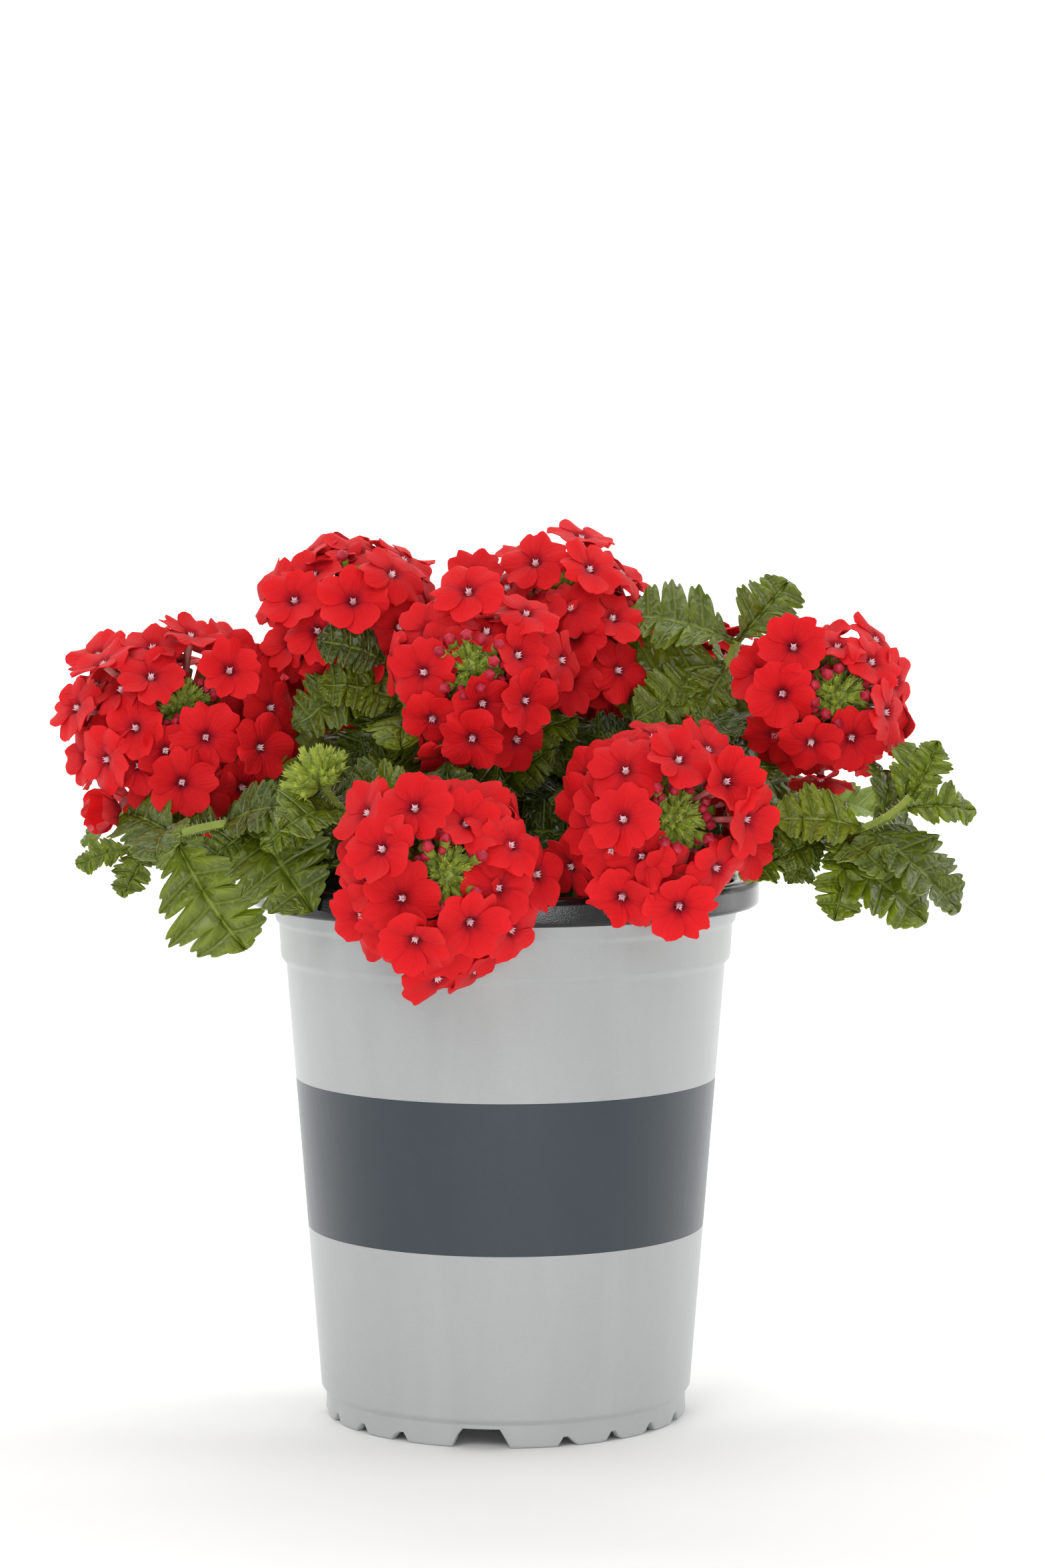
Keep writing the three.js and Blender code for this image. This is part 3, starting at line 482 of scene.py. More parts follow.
def largeBudDirections(head, taken):  # buds about to open, where the open florets leave room
    directions = []
    for step in range(growth["budRings"]):
        polar = growth["budRing"] + 0.1 * wobble(head["seed"] + 400 + step)
        direction = around(head["axis"], polar, step * 2 * math.pi / growth["budRings"])
        if all(other.angle(direction) > growth["budSpacing"] for other in taken):
            directions.append(direction)
    return directions


for number, shoot in enumerate(heads + leafyShoots):
    shoot["seed"] = 1000 * (number + 1)
    shoot["axis"] = Vector(shoot["axis"]).normalized()
    if "centre" in shoot:
        shoot["centre"] = Vector(shoot["centre"])
        shoot["tuft"] = shoot["centre"] + shoot["axis"] * (growth["tuftPlace"] * shoot["radius"])
        shoot["end"] = shoot["tuft"]
    else:
        shoot["end"] = Vector(shoot["end"])
        shoot["tuft"] = shoot["end"] + shoot["axis"] * (growth["budHeadPlace"] * shoot.get("budHead", 0))
    shoot["curve"] = stemPoints(shoot)

sideLeaves = {"places": (0.3, 0.42, 0.56, 0.7, 0.84), "rise": 14, "length": 22}
obstacles = []  # balls that stand for what is already placed: middle, radius, owner
for shoot in heads + leafyShoots:
    if "centre" in shoot:
        obstacles.append((shoot["centre"], shoot["radius"] + growth["headBall"], None))
    for share in (0.3, 0.45, 0.6, 0.75, 0.9):
        obstacles.append((bezier(shoot["curve"], share), growth["stemBall"], shoot["name"]))


def bentClear(name, base, direction, length):  # a leaf leans away from the balls it would run into
    bent = direction.copy()
    for bend in range(growth["bends"]):
        push = Vector((0, 0, 0))
        for centre, radius, owner in obstacles:
            if owner == name:
                continue
            for share in (0.5, 1):
                away = base + bent * (length * share) - centre
                gap = away.length - radius
                if gap < 0:
                    push += away.normalized() * (-growth["bendShare"] * gap / length)
        if push.length_squared == 0:
            break
        bent = (bent + push).normalized()
    return bent


def leavesOf(shoot):
    rows = [row for place, compass, rise, length in shoot["pairs"]
            for row in ((place, compass, rise, length), (place, compass + 180, rise, length))]
    leaves = []
    for number, (place, compass, rise, length) in enumerate(rows + shoot.get("leaves", [])):
        seed = shoot["seed"] + 31 * number
        azimuth = math.radians(compass + 8 * wobble(seed))
        level = math.radians(rise + 6 * wobble(seed + 1))
        aim = Vector((math.cos(azimuth) * math.cos(level), math.sin(azimuth) * math.cos(level),
                      math.sin(level)))
        base = bezier(shoot["curve"], place)
        direction = bentClear(shoot["name"], base, aim, length)
        for share in (0.45, 0.9):
            obstacles.append((base + direction * (length * share), growth["leafBall"], None))
        outward = Vector((growth["facingNarrow"] * base.x, base.y - growth["facingBehind"], 0)).normalized()
        lift = Vector((0, 0, 1)) + outward * growth["leafLean"]
        normal = (lift - direction * lift.dot(direction)).normalized()
        leaves.append({"base": base, "direction": direction, "normal": normal,
                       "side": normal.cross(direction), "length": length, "seed": seed,
                       "fresh": shoot.get("fresh", 0),
                       "width": length * growth["leafWidth"] * (1 + 0.08 * wobble(seed + 2)),
                       "bend": growth["leafBend"] * (1 + 0.5 * wobble(seed + 3))})
    return leaves


def clearOfHeads(leaf):
    points = [leaf["base"] + leaf["direction"] * (leaf["length"] * share) for share in (0.1, 0.5, 0.9)]
    return all((point - head["centre"]).length > head["radius"] + 1 for point in points for head in heads)


for shoot in heads + leafyShoots:
    shoot["leafList"] = leavesOf(shoot)
for shoot in heads + leafyShoots:  # young leaves between the large ones, each pair square to the last
    turned = 90 * wobble(shoot["seed"] + 14)
    young = [(place, turned + 90 * step, sideLeaves["rise"], sideLeaves["length"] * (1 + 0.15 * wobble(step)))
             for step, place in enumerate(sideLeaves["places"])]
    extra = {**shoot, "pairs": young, "leaves": shoot.get("tips", []), "seed": shoot["seed"] + 500}
    shoot["youngLeaves"] = [leaf for leaf in leavesOf(extra) if clearOfHeads(leaf)]
print("layout: stems, florets and leaves placed")


# Corollas: five petals on a slim tube, with a pale hairy eye

bloomShare = {"front": 1.04, "front_right": 1.04, "right": 0.95, "centre": 0.97}  # size of a head's florets
cuppedFlorets = {("left", 10): 0.95, ("left", 9): 0.35, ("front_right", 8): 0.5}
corollaSlots = [petalTop, petalUnder, tubeSkin, eyeHairs]
petalSlot, petalUnderSlot, tubeSlot, eyeHairSlot = range(4)
lowNumber = 40  # the florets below the others are numbered from here


def petalPlace(eye, facing, middle, seed, size, cup):
    side = facing.cross(middle)
    notch = petal["notch"] * (1 + petal["notchVaries"] * wobble(seed + 1))
    half = petal["halfWidth"] * size * (1 + petal["widthVaries"] * wobble(seed + 2))
    phase = 3 * wobble(seed + 3)
    skew = petal["skew"] * wobble(seed + 7)
    length = petal["length"] * size * (1 + petal["lengthVaries"] * wobble(seed + 4))
    ownCup = cup + petal["petalCupVaries"] * wobble(seed + 5)
    claw, clawWidth = petal["claw"], petal["clawWidth"]

    def place(x, y, z):
        u, v = (x + 1) / 2, y
        edge = (1 - 0.08 * v * v - petal["shoulder"] * abs(v) ** 4
                - notch * math.exp(-((v - skew) / petal["notchWidth"]) ** 2)
                + petal["frill"] * math.cos(7 * v + phase)
                + petal["fineFrill"] * math.cos(13 * v + 2 * phase))
        reach = claw + (length * edge - claw) * u
        width = half * (clawWidth + (1 - clawWidth) * math.sin(min(1, u / 0.8) * math.pi / 2) ** 1.2)
        height = (-petal["clawDip"] * (1 - min(1, u / 0.2)) ** 2 + petal["overlap"] * v * u
                  + petal["ruffle"] * math.sin(3.4 * v + phase) * u * u - petal["arch"] * v * v * u
                  - petal["droop"] * u ** 3 * reach / 6)
        lean = ownCup * u ** 0.7
        drop = 0 if z > 0.5 else -petal["thickness"]
        return (eye + middle * (reach * math.cos(lean) - height * math.sin(lean)) + side * (width * v)
                + facing * (reach * math.sin(lean) + height * math.cos(lean) + drop))
    return place


def addFloret(bm, head, direction, number, low=False):
    seed = head["seed"] + 17 * number
    reach = head["radius"] - petal["sunk"] + petal["rise"] * wobble(seed + 3)
    reach -= petal["lower"] if low else 0
    eye = head["centre"] + direction * reach
    stray = Vector((wobble(seed + 11), wobble(seed + 12), wobble(seed + 13))) * petal["tilt"]
    facing = (direction + head["axis"] * petal["faceAxis"] + stray).normalized()
    size = (1 + petal["sizeVaries"] * wobble(seed)) * bloomShare.get(head["name"], 1)
    size *= petal["lowSize"] if low else 1
    cup = cuppedFlorets.get((head["name"], number), petal["cup"] + petal["cupVaries"] * wobble(seed + 1))
    spin = 2 * math.pi * wobble(seed + 2)
    # florets below the others get a higher tint, which the petal material turns darker crimson: painted shade
    # between the florets
    tint = 0.5 + 0.5 * wobble(seed + 6) + (petal["lowShade"] if low else 0)
    for petalNumber in range(5):
        middle = around(facing, math.pi / 2, spin + petalNumber * 2 * math.pi / 5)
        place = petalPlace(eye, facing, middle, seed + 40 * petalNumber, size, cup)
        addShape(bm, lowPetalGrid if low else petalGrid, place, petalSlot, tint, petalUnderSlot)
    root = head["centre"] + direction * petal["tubeRoot"]
    tube = eye - facing * petal["throatDepth"] - root
    tubePlace = standing(root, tube.normalized(), tube.length, petal["tubeRadius"], petal["throatRadius"])
    addShape(bm, shortTube, tubePlace, tubeSlot, tint)
    for hair in range(petal["hairs"]):  # every other hair leans out of the throat
        turn = hair * goldenAngle
        hairRoot = eye - facing * petal["hairSunk"] + around(facing, math.pi / 2, turn) * petal["hairRing"]
        hairWay = around(facing, petal["hairLean"] + petal["hairSpread"] * (hair % 2), turn)
        hairPlace = standing(hairRoot, hairWay, petal["hairLength"], petal["hairRadius"], 0)
        addShape(bm, hairSpike, hairPlace, eyeHairSlot, tint)
    return root, tube.normalized()


for head in heads:
    bm = bmesh.new()
    upper = floretDirections(head)
    lower = spiral(head, upper, growth["lowFrom"], growth["lowTurn"], growth["lowSteps"],
                   growth["lowSpacing"])
    head["largeBuds"] = largeBudDirections(head, upper)
    head["calyces"] = [addFloret(bm, head, direction, number) for number, direction in enumerate(upper)]
    head["calyces"] += [addFloret(bm, head, direction, number, True)
                        for number, direction in enumerate(lower, lowNumber)]
    print("  " + head["name"] + ":", len(upper), "florets,", len(lower), "below them")
    finishPiece("corollas_" + head["name"], bm, corollaSlots, "florets_" + head["name"])
print("corollas: finished")


# Shoots: stem, leaves, calyces, unopened buds and hairs

shootSlots = [leafTop, leafUnder, stemSkin, calyxSkin, budSkin, plantHairs]
leafSlot, leafUnderSlot, stemSlot, calyxSlot, budSlot, hairSlot = range(6)
stem = {"radius": 1.45, "tipShare": 0.72, "square": 0.12, "hairLength": 1.4, "hairRadius": 0.09,
        "hairs": 240, "bareShare": 0.2}
calyx = {"length": 8.5, "sunk": 1.5, "baseRadius": 0.75, "mouthRadius": 1.25, "tooth": 1.7,
         "toothOut": 0.25, "hairs": 7, "hairOut": 0.9, "hairLength": 1.0, "hairRadius": 0.07,
         "hairFrom": 0.35, "hairReach": 0.6, "hairRise": 0.5}
foldedBud = {"length": 1.15, "folds": 0.24, "point": 0.3}
heart = {"ballLength": 0.54, "ballRadius": 0.44, "count": 54, "from": 0.45, "reach": 2.1, "root": 0.3,
         "length": 0.3, "radius": 1.3}
largeBud = {"root": 0.36, "length": 0.5, "clear": 1.5, "sunk": 0.3, "radius": 1.4}
tuftBuds = {"count": 40, "spread": 1.3, "length": 6.6, "radius": 1.1, "tooth": 1.35, "toothWidth": 0.42,
            "hub": 5.2, "hubRise": 2.4, "hubLength": 2.2, "hubRadius": 3.0, "hairs": 3,
            "ballPlace": 0.6, "ballLength": 0.42, "mouth": 0.86, "mouthRadius": 0.6, "toothLean": 0.15,
            "toothSpread": 0.4, "hairFrom": 0.6, "hairStep": 0.12, "hairOut": 0.8,
            "hairLength": 1.1, "openFrom": 0.45, "openOver": -0.35, "budRadius": 1.1}


def addStem(bm, shoot):
    points = [bezier(shoot["curve"], step / stemRings) for step in range(stemRings + 1)]
    across = Vector((1, 0, 0))
    frames = []
    for number, point in enumerate(points):
        ahead = (points[min(stemRings, number + 1)] - points[max(0, number - 1)]).normalized()
        across = (across - ahead * across.dot(ahead)).normalized()
        frames.append((point, across, ahead.cross(across)))

    def radiusAt(share):
        return stem["radius"] * (1 - (1 - stem["tipShare"]) * share)

    def place(x, y, z):
        point, first, second = frames[round(z * stemRings)]
        radius = radiusAt(z) * (1 + stem["square"] * math.cos(4 * math.atan2(y, x)))
        return point + first * (radius * x) + second * (radius * y)
    addShape(bm, stemTube, place, stemSlot, 0.5 + 0.5 * wobble(shoot["seed"] + 7))
    for number in range(stem["hairs"]):
        share = stem["bareShare"] + (1 - stem["bareShare"]) * (number + 0.5) / stem["hairs"]
        point, first, second = frames[round(share * stemRings)]
        angle = number * goldenAngle
        out = first * math.cos(angle) + second * math.sin(angle)
        base = bezier(shoot["curve"], share) + out * radiusAt(share)
        length = stem["hairLength"] * (1 + 0.4 * wobble(number))
        addShape(bm, hairSpike, standing(base - out * 0.1, out, length, stem["hairRadius"], 0), hairSlot)


def lobePhase(u):  # which lobe a line across the blade belongs to, and how far along it
    return (u - leafForm["firstNotch"]) / leafForm["lobePitch"]


def halfBlade(leaf, u, side):
    x = min(1.0, max(0.0, (u - leafForm["bladeStart"]) / (1 - leafForm["bladeStart"])))
    grow, fall = leafForm["widening"], leafForm["narrowing"]
    widest = grow / (grow + fall)
    half = leafForm["halfShare"] * leaf["width"] * (x / widest) ** grow * ((1 - x) / (1 - widest)) ** fall
    phase = lobePhase(u) + 0.0001  # a row on a notch counts to the lobe that starts there
    lobe = math.floor(phase)
    inLobe = phase - lobe
    depths = leafForm["notchDepths"]
    nearest = lobe + (1 if inLobe < 0.5 else 2)
    depth = depths[min(len(depths) - 1, max(0, nearest))]
    depth *= 1 + leafForm["notchVaries"] * wobble(leaf["seed"] + 15)
    fullness = max(0.0, 1 - abs(2 * inLobe - 1) ** leafForm["lobeRound"]) ** (1 / leafForm["lobeRound"])
    scallop = abs(math.sin(leafForm["teeth"] * math.pi * inLobe)) ** leafForm["toothRound"]
    half *= 1 - depth * (1 - fullness) - leafForm["lobeSkew"] * (inLobe - 0.5)
    half *= 1 - leafForm["tooth"] * (1 - scallop)
    half *= 1 + leafForm["lobeVaries"] * wobble(leaf["seed"] + 20 + lobe + 7 * side)
    return max(leafForm["stalk"] * (1 - leafForm["stalkTaper"] * u), half)


def addLeaf(bm, leaf, template):
    seed = leaf["seed"]
    twist = leafForm["twist"] * wobble(seed + 8)
    phase = 3 * wobble(seed + 9)
    length, bend = leaf["length"], leaf["bend"]
    shifts = {-1: leafForm["shift"] * wobble(seed + 10), 1: leafForm["shift"] * wobble(seed + 11)}
    curl = leafForm["curl"] * (0.6 + 0.8 * wobble(seed + 12)) * length / leafForm["curlLength"]
    tint = 0.5 + 0.5 * wobble(seed + 4) + leaf["fresh"]

    def place(x, y, z):
        u, v = (x + 1) / 2, y
        side = abs(v)
        way = -1 if v < 0 else 1
        half = halfBlade(leaf, u, way)
        lateral = half * side
        across = way * lateral
        along = u + leafForm["slope"] * lateral / length * (1 - u) ** leafForm["slopeFade"]
        along += shifts[way] * side * 4 * u * (1 - u)
        turn = bend * along
        reach = length * math.sin(turn) / bend
        drop = length * (1 - math.cos(turn)) / bend
        between = 0.5 + 0.5 * math.cos(2 * math.pi * lobePhase(u))
        rise = growth["leafFold"] * lateral + twist * across * u * 0.6
        rise += leafForm["puff"] * between * side ** 0.4 * (1 - side ** 3) * smooth(0.1, 0.3, u)
        rise -= leafForm["groove"] * math.exp(-(v / leafForm["grooveWidth"]) ** 2) * (1 - 0.6 * u)
        rise += leafForm["wave"] * math.sin(13 * u + phase) * side ** 3 * smooth(0.1, 0.4, u)
        rise -= curl * side ** 3 * smooth(0.1, 0.5, u)
        lumpPoint = Vector((u * length / leafForm["lumpPitch"], v * half / leafForm["lumpPitch"], seed))
        rise += leafForm["lumps"] * noise.noise(lumpPoint)
        if z < 0.5:
            rise -= leafForm["thickness"] * (1 if u > leafForm["stalkEnd"] else leafForm["stalkThick"])
        return (leaf["base"] + leaf["direction"] * (reach + rise * math.sin(turn))
                + leaf["normal"] * (rise * math.cos(turn) - drop) + leaf["side"] * across)
    addShape(bm, template, place, leafSlot, tint, leafUnderSlot)


def addCalyx(bm, root, direction, seed, length):
    first, second = acrossAxis(direction)

    def place(x, y, z):
        corner = math.atan2(y, x) * 5 / (2 * math.pi)
        pointed = 1 if abs(corner - round(corner)) < 0.1 and z > 0.9 else 0
        radius = calyx["baseRadius"] + (calyx["mouthRadius"] - calyx["baseRadius"]) * z ** 0.7
        radius += calyx["toothOut"] * pointed
        return (root + direction * (length * z + calyx["tooth"] * pointed)
                + first * (radius * x) + second * (radius * y))
    addShape(bm, calyxTube, place, calyxSlot, 0.5 + 0.5 * wobble(seed))
    for number in range(calyx["hairs"]):
        out = around(direction, math.pi / 2, number * goldenAngle)
        height = length * (calyx["hairFrom"] + calyx["hairReach"] * number / calyx["hairs"])
        base = root + direction * height + out * calyx["hairOut"]
        way = (out + direction * calyx["hairRise"]).normalized()
        hairPlace = standing(base, way, calyx["hairLength"], calyx["hairRadius"], 0)
        addShape(bm, hairSpike, hairPlace, hairSlot)


def addBud(bm, centre, way, radius, seed):  # a folded corolla, not yet open
    first, second = acrossAxis(way)

    def place(x, y, z):
        fold = 1 + foldedBud["folds"] * math.cos(5 * math.atan2(y, x) + seed) * (1 - abs(z))
        fold *= 1 - foldedBud["point"] * max(0, z)
        return centre + way * (radius * foldedBud["length"] * z) + (first * x + second * y) * (radius * fold)
    addShape(bm, roundBall, place, budSlot, 0.5 + 0.5 * wobble(seed + 5))


def addTuft(bm, centre, axis, size, seed, closed):
    hub = centre - axis * (tuftBuds["hub"] * size)
    hubPlace = standing(hub + axis * (tuftBuds["hubRise"] * size), axis, tuftBuds["hubLength"] * size,
                        tuftBuds["hubRadius"] * size)
    addShape(bm, roundBall, hubPlace, calyxSlot, 0.1)
    for number in range(tuftBuds["count"]):
        share = (number + 0.5) / tuftBuds["count"]
        polar = tuftBuds["spread"] * math.sqrt(share) * (1 + 0.07 * wobble(seed + number))
        way = around(axis, polar, number * goldenAngle + 0.25 * wobble(seed + 200 + number))
        length = tuftBuds["length"] * size * (1.12 + 0.14 * wobble(seed + 60 + number))
        radius = tuftBuds["radius"] * (0.7 + 0.45 * share) * (0.7 + 0.3 * size)
        tint = 0.1 + 0.5 * (1 - share) + 0.4 * wobble(seed + 90 + number) + (0.25 if closed else 0)
        ball = standing(hub + way * (length * tuftBuds["ballPlace"]), way, length * tuftBuds["ballLength"],
                        radius)
        addShape(bm, roundBall, ball, calyxSlot, tint)
        for tooth in range(5):  # hairy teeth round the mouth of the calyx
            out = around(way, math.pi / 2, tooth * 2 * math.pi / 5 + number)
            base = hub + way * (length * tuftBuds["mouth"]) + out * (radius * tuftBuds["mouthRadius"])
            lean = (way + out * (tuftBuds["toothLean"] + tuftBuds["toothSpread"] * share)).normalized()
            spike = standing(base, lean, tuftBuds["tooth"] * size, tuftBuds["toothWidth"], 0)
            addShape(bm, hairSpike, spike, calyxSlot, tint + 0.3)
        for hair in range(tuftBuds["hairs"]):
            out = around(way, math.pi / 2, hair * 2.1 + 0.7 * number)
            height = length * (tuftBuds["hairFrom"] + tuftBuds["hairStep"] * hair)
            base = hub + way * height + out * (radius * tuftBuds["hairOut"])
            lean = (way * 0.6 + out).normalized()
            spike = standing(base, lean, tuftBuds["hairLength"], calyx["hairRadius"], 0)
            addShape(bm, hairSpike, spike, hairSlot)
        opening = share > tuftBuds["openFrom"] and wobble(seed + 30 + number) > tuftBuds["openOver"]
        if opening and not closed:
            bud = tuftBuds["budRadius"] * (0.75 + 0.35 * share)
            addBud(bm, hub + way * (length * 1.05 + 0.5 * bud), way, bud, seed + number)


def addHeart(bm, head):  # the dense green middle of a flower head, and the buds about to open
    centre, axis, radius, seed = head["centre"], head["axis"], head["radius"], head["seed"]
    ball = standing(centre, axis, heart["ballLength"] * radius, heart["ballRadius"] * radius)
    # the ball stands for the mass of calyces; tint 0 gives it the darkest calyx green as painted shade deep
    # in the head
    addShape(bm, roundBall, ball, calyxSlot, 0)
    for number in range(heart["count"]):
        polar = heart["from"] + heart["reach"] * number / heart["count"]
        way = around(axis, polar, number * goldenAngle)
        length = heart["length"] * radius * (1 + 0.15 * wobble(number))
        stub = standing(centre + way * (heart["root"] * radius), way, length, 0.6 * heart["radius"],
                        heart["radius"])
        addShape(bm, shortTube, stub, calyxSlot, 0.35 + 0.35 * wobble(number + 9))
    for number, way in enumerate(head["largeBuds"]):
        foot = centre + way * (largeBud["root"] * radius)
        length = (largeBud["length"] + 0.06 * wobble(seed + 430 + number)) * radius
        addCalyx(bm, foot, way, seed + 410 + number, length - largeBud["clear"])
        addBud(bm, foot + way * (length - largeBud["sunk"]), way, largeBud["radius"], seed + 420 + number)


for shoot in heads + leafyShoots:
    bm = bmesh.new()
    addStem(bm, shoot)
    for leaf in shoot["leafList"]:
        addLeaf(bm, leaf, leafGrid)
    for leaf in shoot["youngLeaves"]:
        addLeaf(bm, leaf, youngLeafGrid)
    for number, (root, way) in enumerate(shoot.get("calyces", [])):
        addCalyx(bm, root - way * calyx["sunk"], way, shoot["seed"] + 70 + number, calyx["length"])
    if "centre" in shoot:
        addHeart(bm, shoot)
        addTuft(bm, shoot["tuft"], shoot["axis"], 1.0, shoot["seed"] + 300, False)
        name, node = "shoot_" + shoot["name"], "flowering_shoot_" + shoot["name"]
    else:
        if "budHead" in shoot:
            addTuft(bm, shoot["tuft"], shoot["axis"], 1.25, shoot["seed"] + 300, True)
        name, node = "leafy_" + shoot["name"], "leafy_shoot_" + shoot["name"]
    finishPiece(name, bm, shootSlots, node)
print("shoots: finished")


# Pot: one thin moulding with a printed band; "gaps" and "notches" are cut in its foot ring

pot = {"height": 132, "rimRadius": 61.9, "rimBottom": 125, "collarRadius": 55.4, "collarBottom": 112.3,
       "shoulderRadius": 53.6, "heelRadius": 45.3, "footRadius": 44.1, "footHeight": 5.6,
       "footWidth": 2.2, "wall": 0.9, "wallBottom": 7, "wallHeight": 104, "floor": 5, "steps": 216,
       "bandLow": 46.5, "bandHigh": 83.0,
       "lugs": 4, "lugSpan": 26.5, "lugStart": -157, "lugProud": 0.8, "lugLow": 4.5, "lugTop": 1.5,
       "gaps": 3, "gapStart": -97.6, "gapTop": 9.6, "gapBottom": 13.8, "gapDepth": 4.6,
       "drainRadius": 4, "drainCircle": 33,
       "notches": 5, "notchPitch": 16.5, "notchTop": 2.4, "notchBottom": 4.4, "notchDepth": 2.2}

# Injection-moulded polypropylene, satin grey outside and glossy black inside: soft highlights, faint
# flow marks drawn out up the wall, and specks in the plastic that are coarser than life, to show
potLook = {"grey": "#9ea1a1", "greyMark": "#e2e4e4", "greyRoughness": 0.36, "greySheen": 0.22,
           "black": "#0b0c0d", "blackMark": "#17191b", "blackRoughness": 0.16, "ior": 1.49,
           "ink": "#29323a", "inkMark": "#6a747b", "flowWidth": 16.7, "flowHeight": 111, "speck": 0.3125}


def makePotMaterial(name, colour, mark, roughness, sheen, banded):
    material, tree, shader = newMaterial(name, {
        "Roughness": roughness, "IOR": potLook["ior"], "Sheen Weight": sheen, "Sheen Roughness": 0.35})
    coords = addNode(tree, "TexCoord", {}, "Object")
    across, upward = patternScale(potLook["flowWidth"]), patternScale(potLook["flowHeight"])
    stretch = addNode(tree, "Mapping", {"Vector": coords, "Scale": (across, across, upward)})
    flow = addNode(tree, "TexNoise", {
        "Vector": stretch, "Scale": 1.0, "Detail": 4.0, "Distortion": 1.2})
    specks = addNode(tree, "TexNoise", {
        "Vector": coords, "Scale": patternScale(potLook["speck"]), "Detail": 1.0})
    speckShade = addNode(tree, "Math", {0: specks, 1: 0.14}, operation="MULTIPLY")
    shade = addNode(tree, "Math", {0: flow, 1: 0.16, 2: speckShade}, operation="MULTIPLY_ADD")
    result = addNode(tree, "Mix", {0: shade, 6: hexToLinear(colour), 7: hexToLinear(mark)}, 2,
                     data_type="RGBA")
    if banded:
        level = addNode(tree, "SeparateXYZ", {"Vector": coords}, "Z")
        above = addNode(tree, "Math", {0: level, 1: pot["bandLow"] * mm}, operation="GREATER_THAN")
        below = addNode(tree, "Math", {0: level, 1: pot["bandHigh"] * mm}, operation="LESS_THAN")
        band = addNode(tree, "Math", {0: above, 1: below}, operation="MULTIPLY")
        half = addNode(tree, "Math", {0: shade, 1: 0.5}, operation="MULTIPLY")
        ink = addNode(tree, "Mix", {
            0: half, 6: hexToLinear(potLook["ink"]), 7: hexToLinear(potLook["inkMark"])}, 2, data_type="RGBA")
        result = addNode(tree, "Mix", {0: band, 6: result, 7: ink}, 2, data_type="RGBA")
    height = addNode(tree, "Math", {0: specks, 1: 0.3, 2: flow}, operation="MULTIPLY_ADD")
    bump = addNode(tree, "Bump", {"Strength": 0.5, "Distance": 0.3 * mm, "Height": height})
    setInputs(tree, shader, {"Base Color": result, "Normal": bump})
    return material


greyPlastic = makePotMaterial("MouldedGreyPolypropylene", potLook["grey"], potLook["greyMark"],
                              potLook["greyRoughness"], potLook["greySheen"], True)
blackPlastic = makePotMaterial("GlossBlackPolypropylene", potLook["black"], potLook["blackMark"],
                               potLook["blackRoughness"], 0, False)


def roundedProfile(corners, bends=4):  # (radius, height, rounding) corners to points
    points = [Vector((corners[0][0], 0, corners[0][1]))]
    for before, corner, after in zip(corners, corners[1:], corners[2:]):
        middle = Vector((corner[0], 0, corner[1]))
        back = Vector((before[0], 0, before[1])) - middle
        on = Vector((after[0], 0, after[1])) - middle
        cut = min(corner[2], 0.45 * back.length, 0.45 * on.length)
        start, end = middle + back.normalized() * cut, middle + on.normalized() * cut
        for bend in range(bends + 1):
            share = bend / bends
            points.append(start * (1 - share) ** 2 + middle * (2 * share * (1 - share)) + end * share ** 2)
    points.append(Vector((corners[-1][0], 0, corners[-1][1])))
    return points


def potCorners():
    foot, inner = pot["footRadius"], -pot["wall"]
    collar, shoulder, heel = pot["collarRadius"], pot["shoulderRadius"], pot["heelRadius"]
    top, rim, under = pot["height"], pot["rimRadius"], pot["rimBottom"]
    step, floor = pot["collarBottom"], pot["floor"]
    return [(0, floor, 0), (foot - pot["footWidth"], floor, 0.6), (foot - pot["footWidth"], 0, 0.5),
            (foot, 0, 0.9), (foot, pot["footHeight"], 0.3), (heel, pot["footHeight"] + 1.3, 0.6),
            (shoulder, step - 1.4, 0.4), (collar - 0.5, step, 0.7), (collar, under - 4.4, 0.5),
            (collar + 0.8, under - 3.5, 0.5), (collar + 1.2, under - 0.1, 0.5),
            (rim - 0.5, under + 0.2, 0.5), (rim, under + 0.9, 0.5),
            (rim, top - 4.4, 0.2), (rim, top - 1.8, 0.2), (rim - 0.9, top - 0.3, 0.9),
            (rim - 3, top, 1.2), (collar + 0.2, top - 0.8, 1.2), (collar + inner, under - 1.6, 1.5),
            (collar - 0.5 + inner, step + 0.1, 0.5), (shoulder + inner, step - 1.2, 0.5),
            (heel + inner, 7.2, 0.6), (heel + inner - 1, floor + 1, 0.5), (0, floor + 1, 0)]


def turnAway(degrees, centre):  # how far an angle is from another, in degrees
    return abs((degrees - centre + 180) % 360 - 180)


def footRise(degrees):  # height of the foot ring's underside at an angle round the pot
    rise = 0.0
    perMm = 180 / (math.pi * pot["footRadius"])
    sector = 360 / pot["gaps"]
    cuts = []
    for gap in range(pot["gaps"]):
        centre = pot["gapStart"] + gap * sector
        cuts.append((centre, pot["gapTop"], pot["gapBottom"], pot["gapDepth"]))
        for notch in range(pot["notches"]):
            offset = sector / 2 + (notch - (pot["notches"] - 1) / 2) * pot["notchPitch"]
            cuts.append((centre + offset, pot["notchTop"], pot["notchBottom"], pot["notchDepth"]))
    for centre, top, bottom, depth in cuts:
        away = turnAway(degrees, centre) / perMm
        rise = max(rise, depth * smooth(bottom / 2, top / 2, away))
    return rise


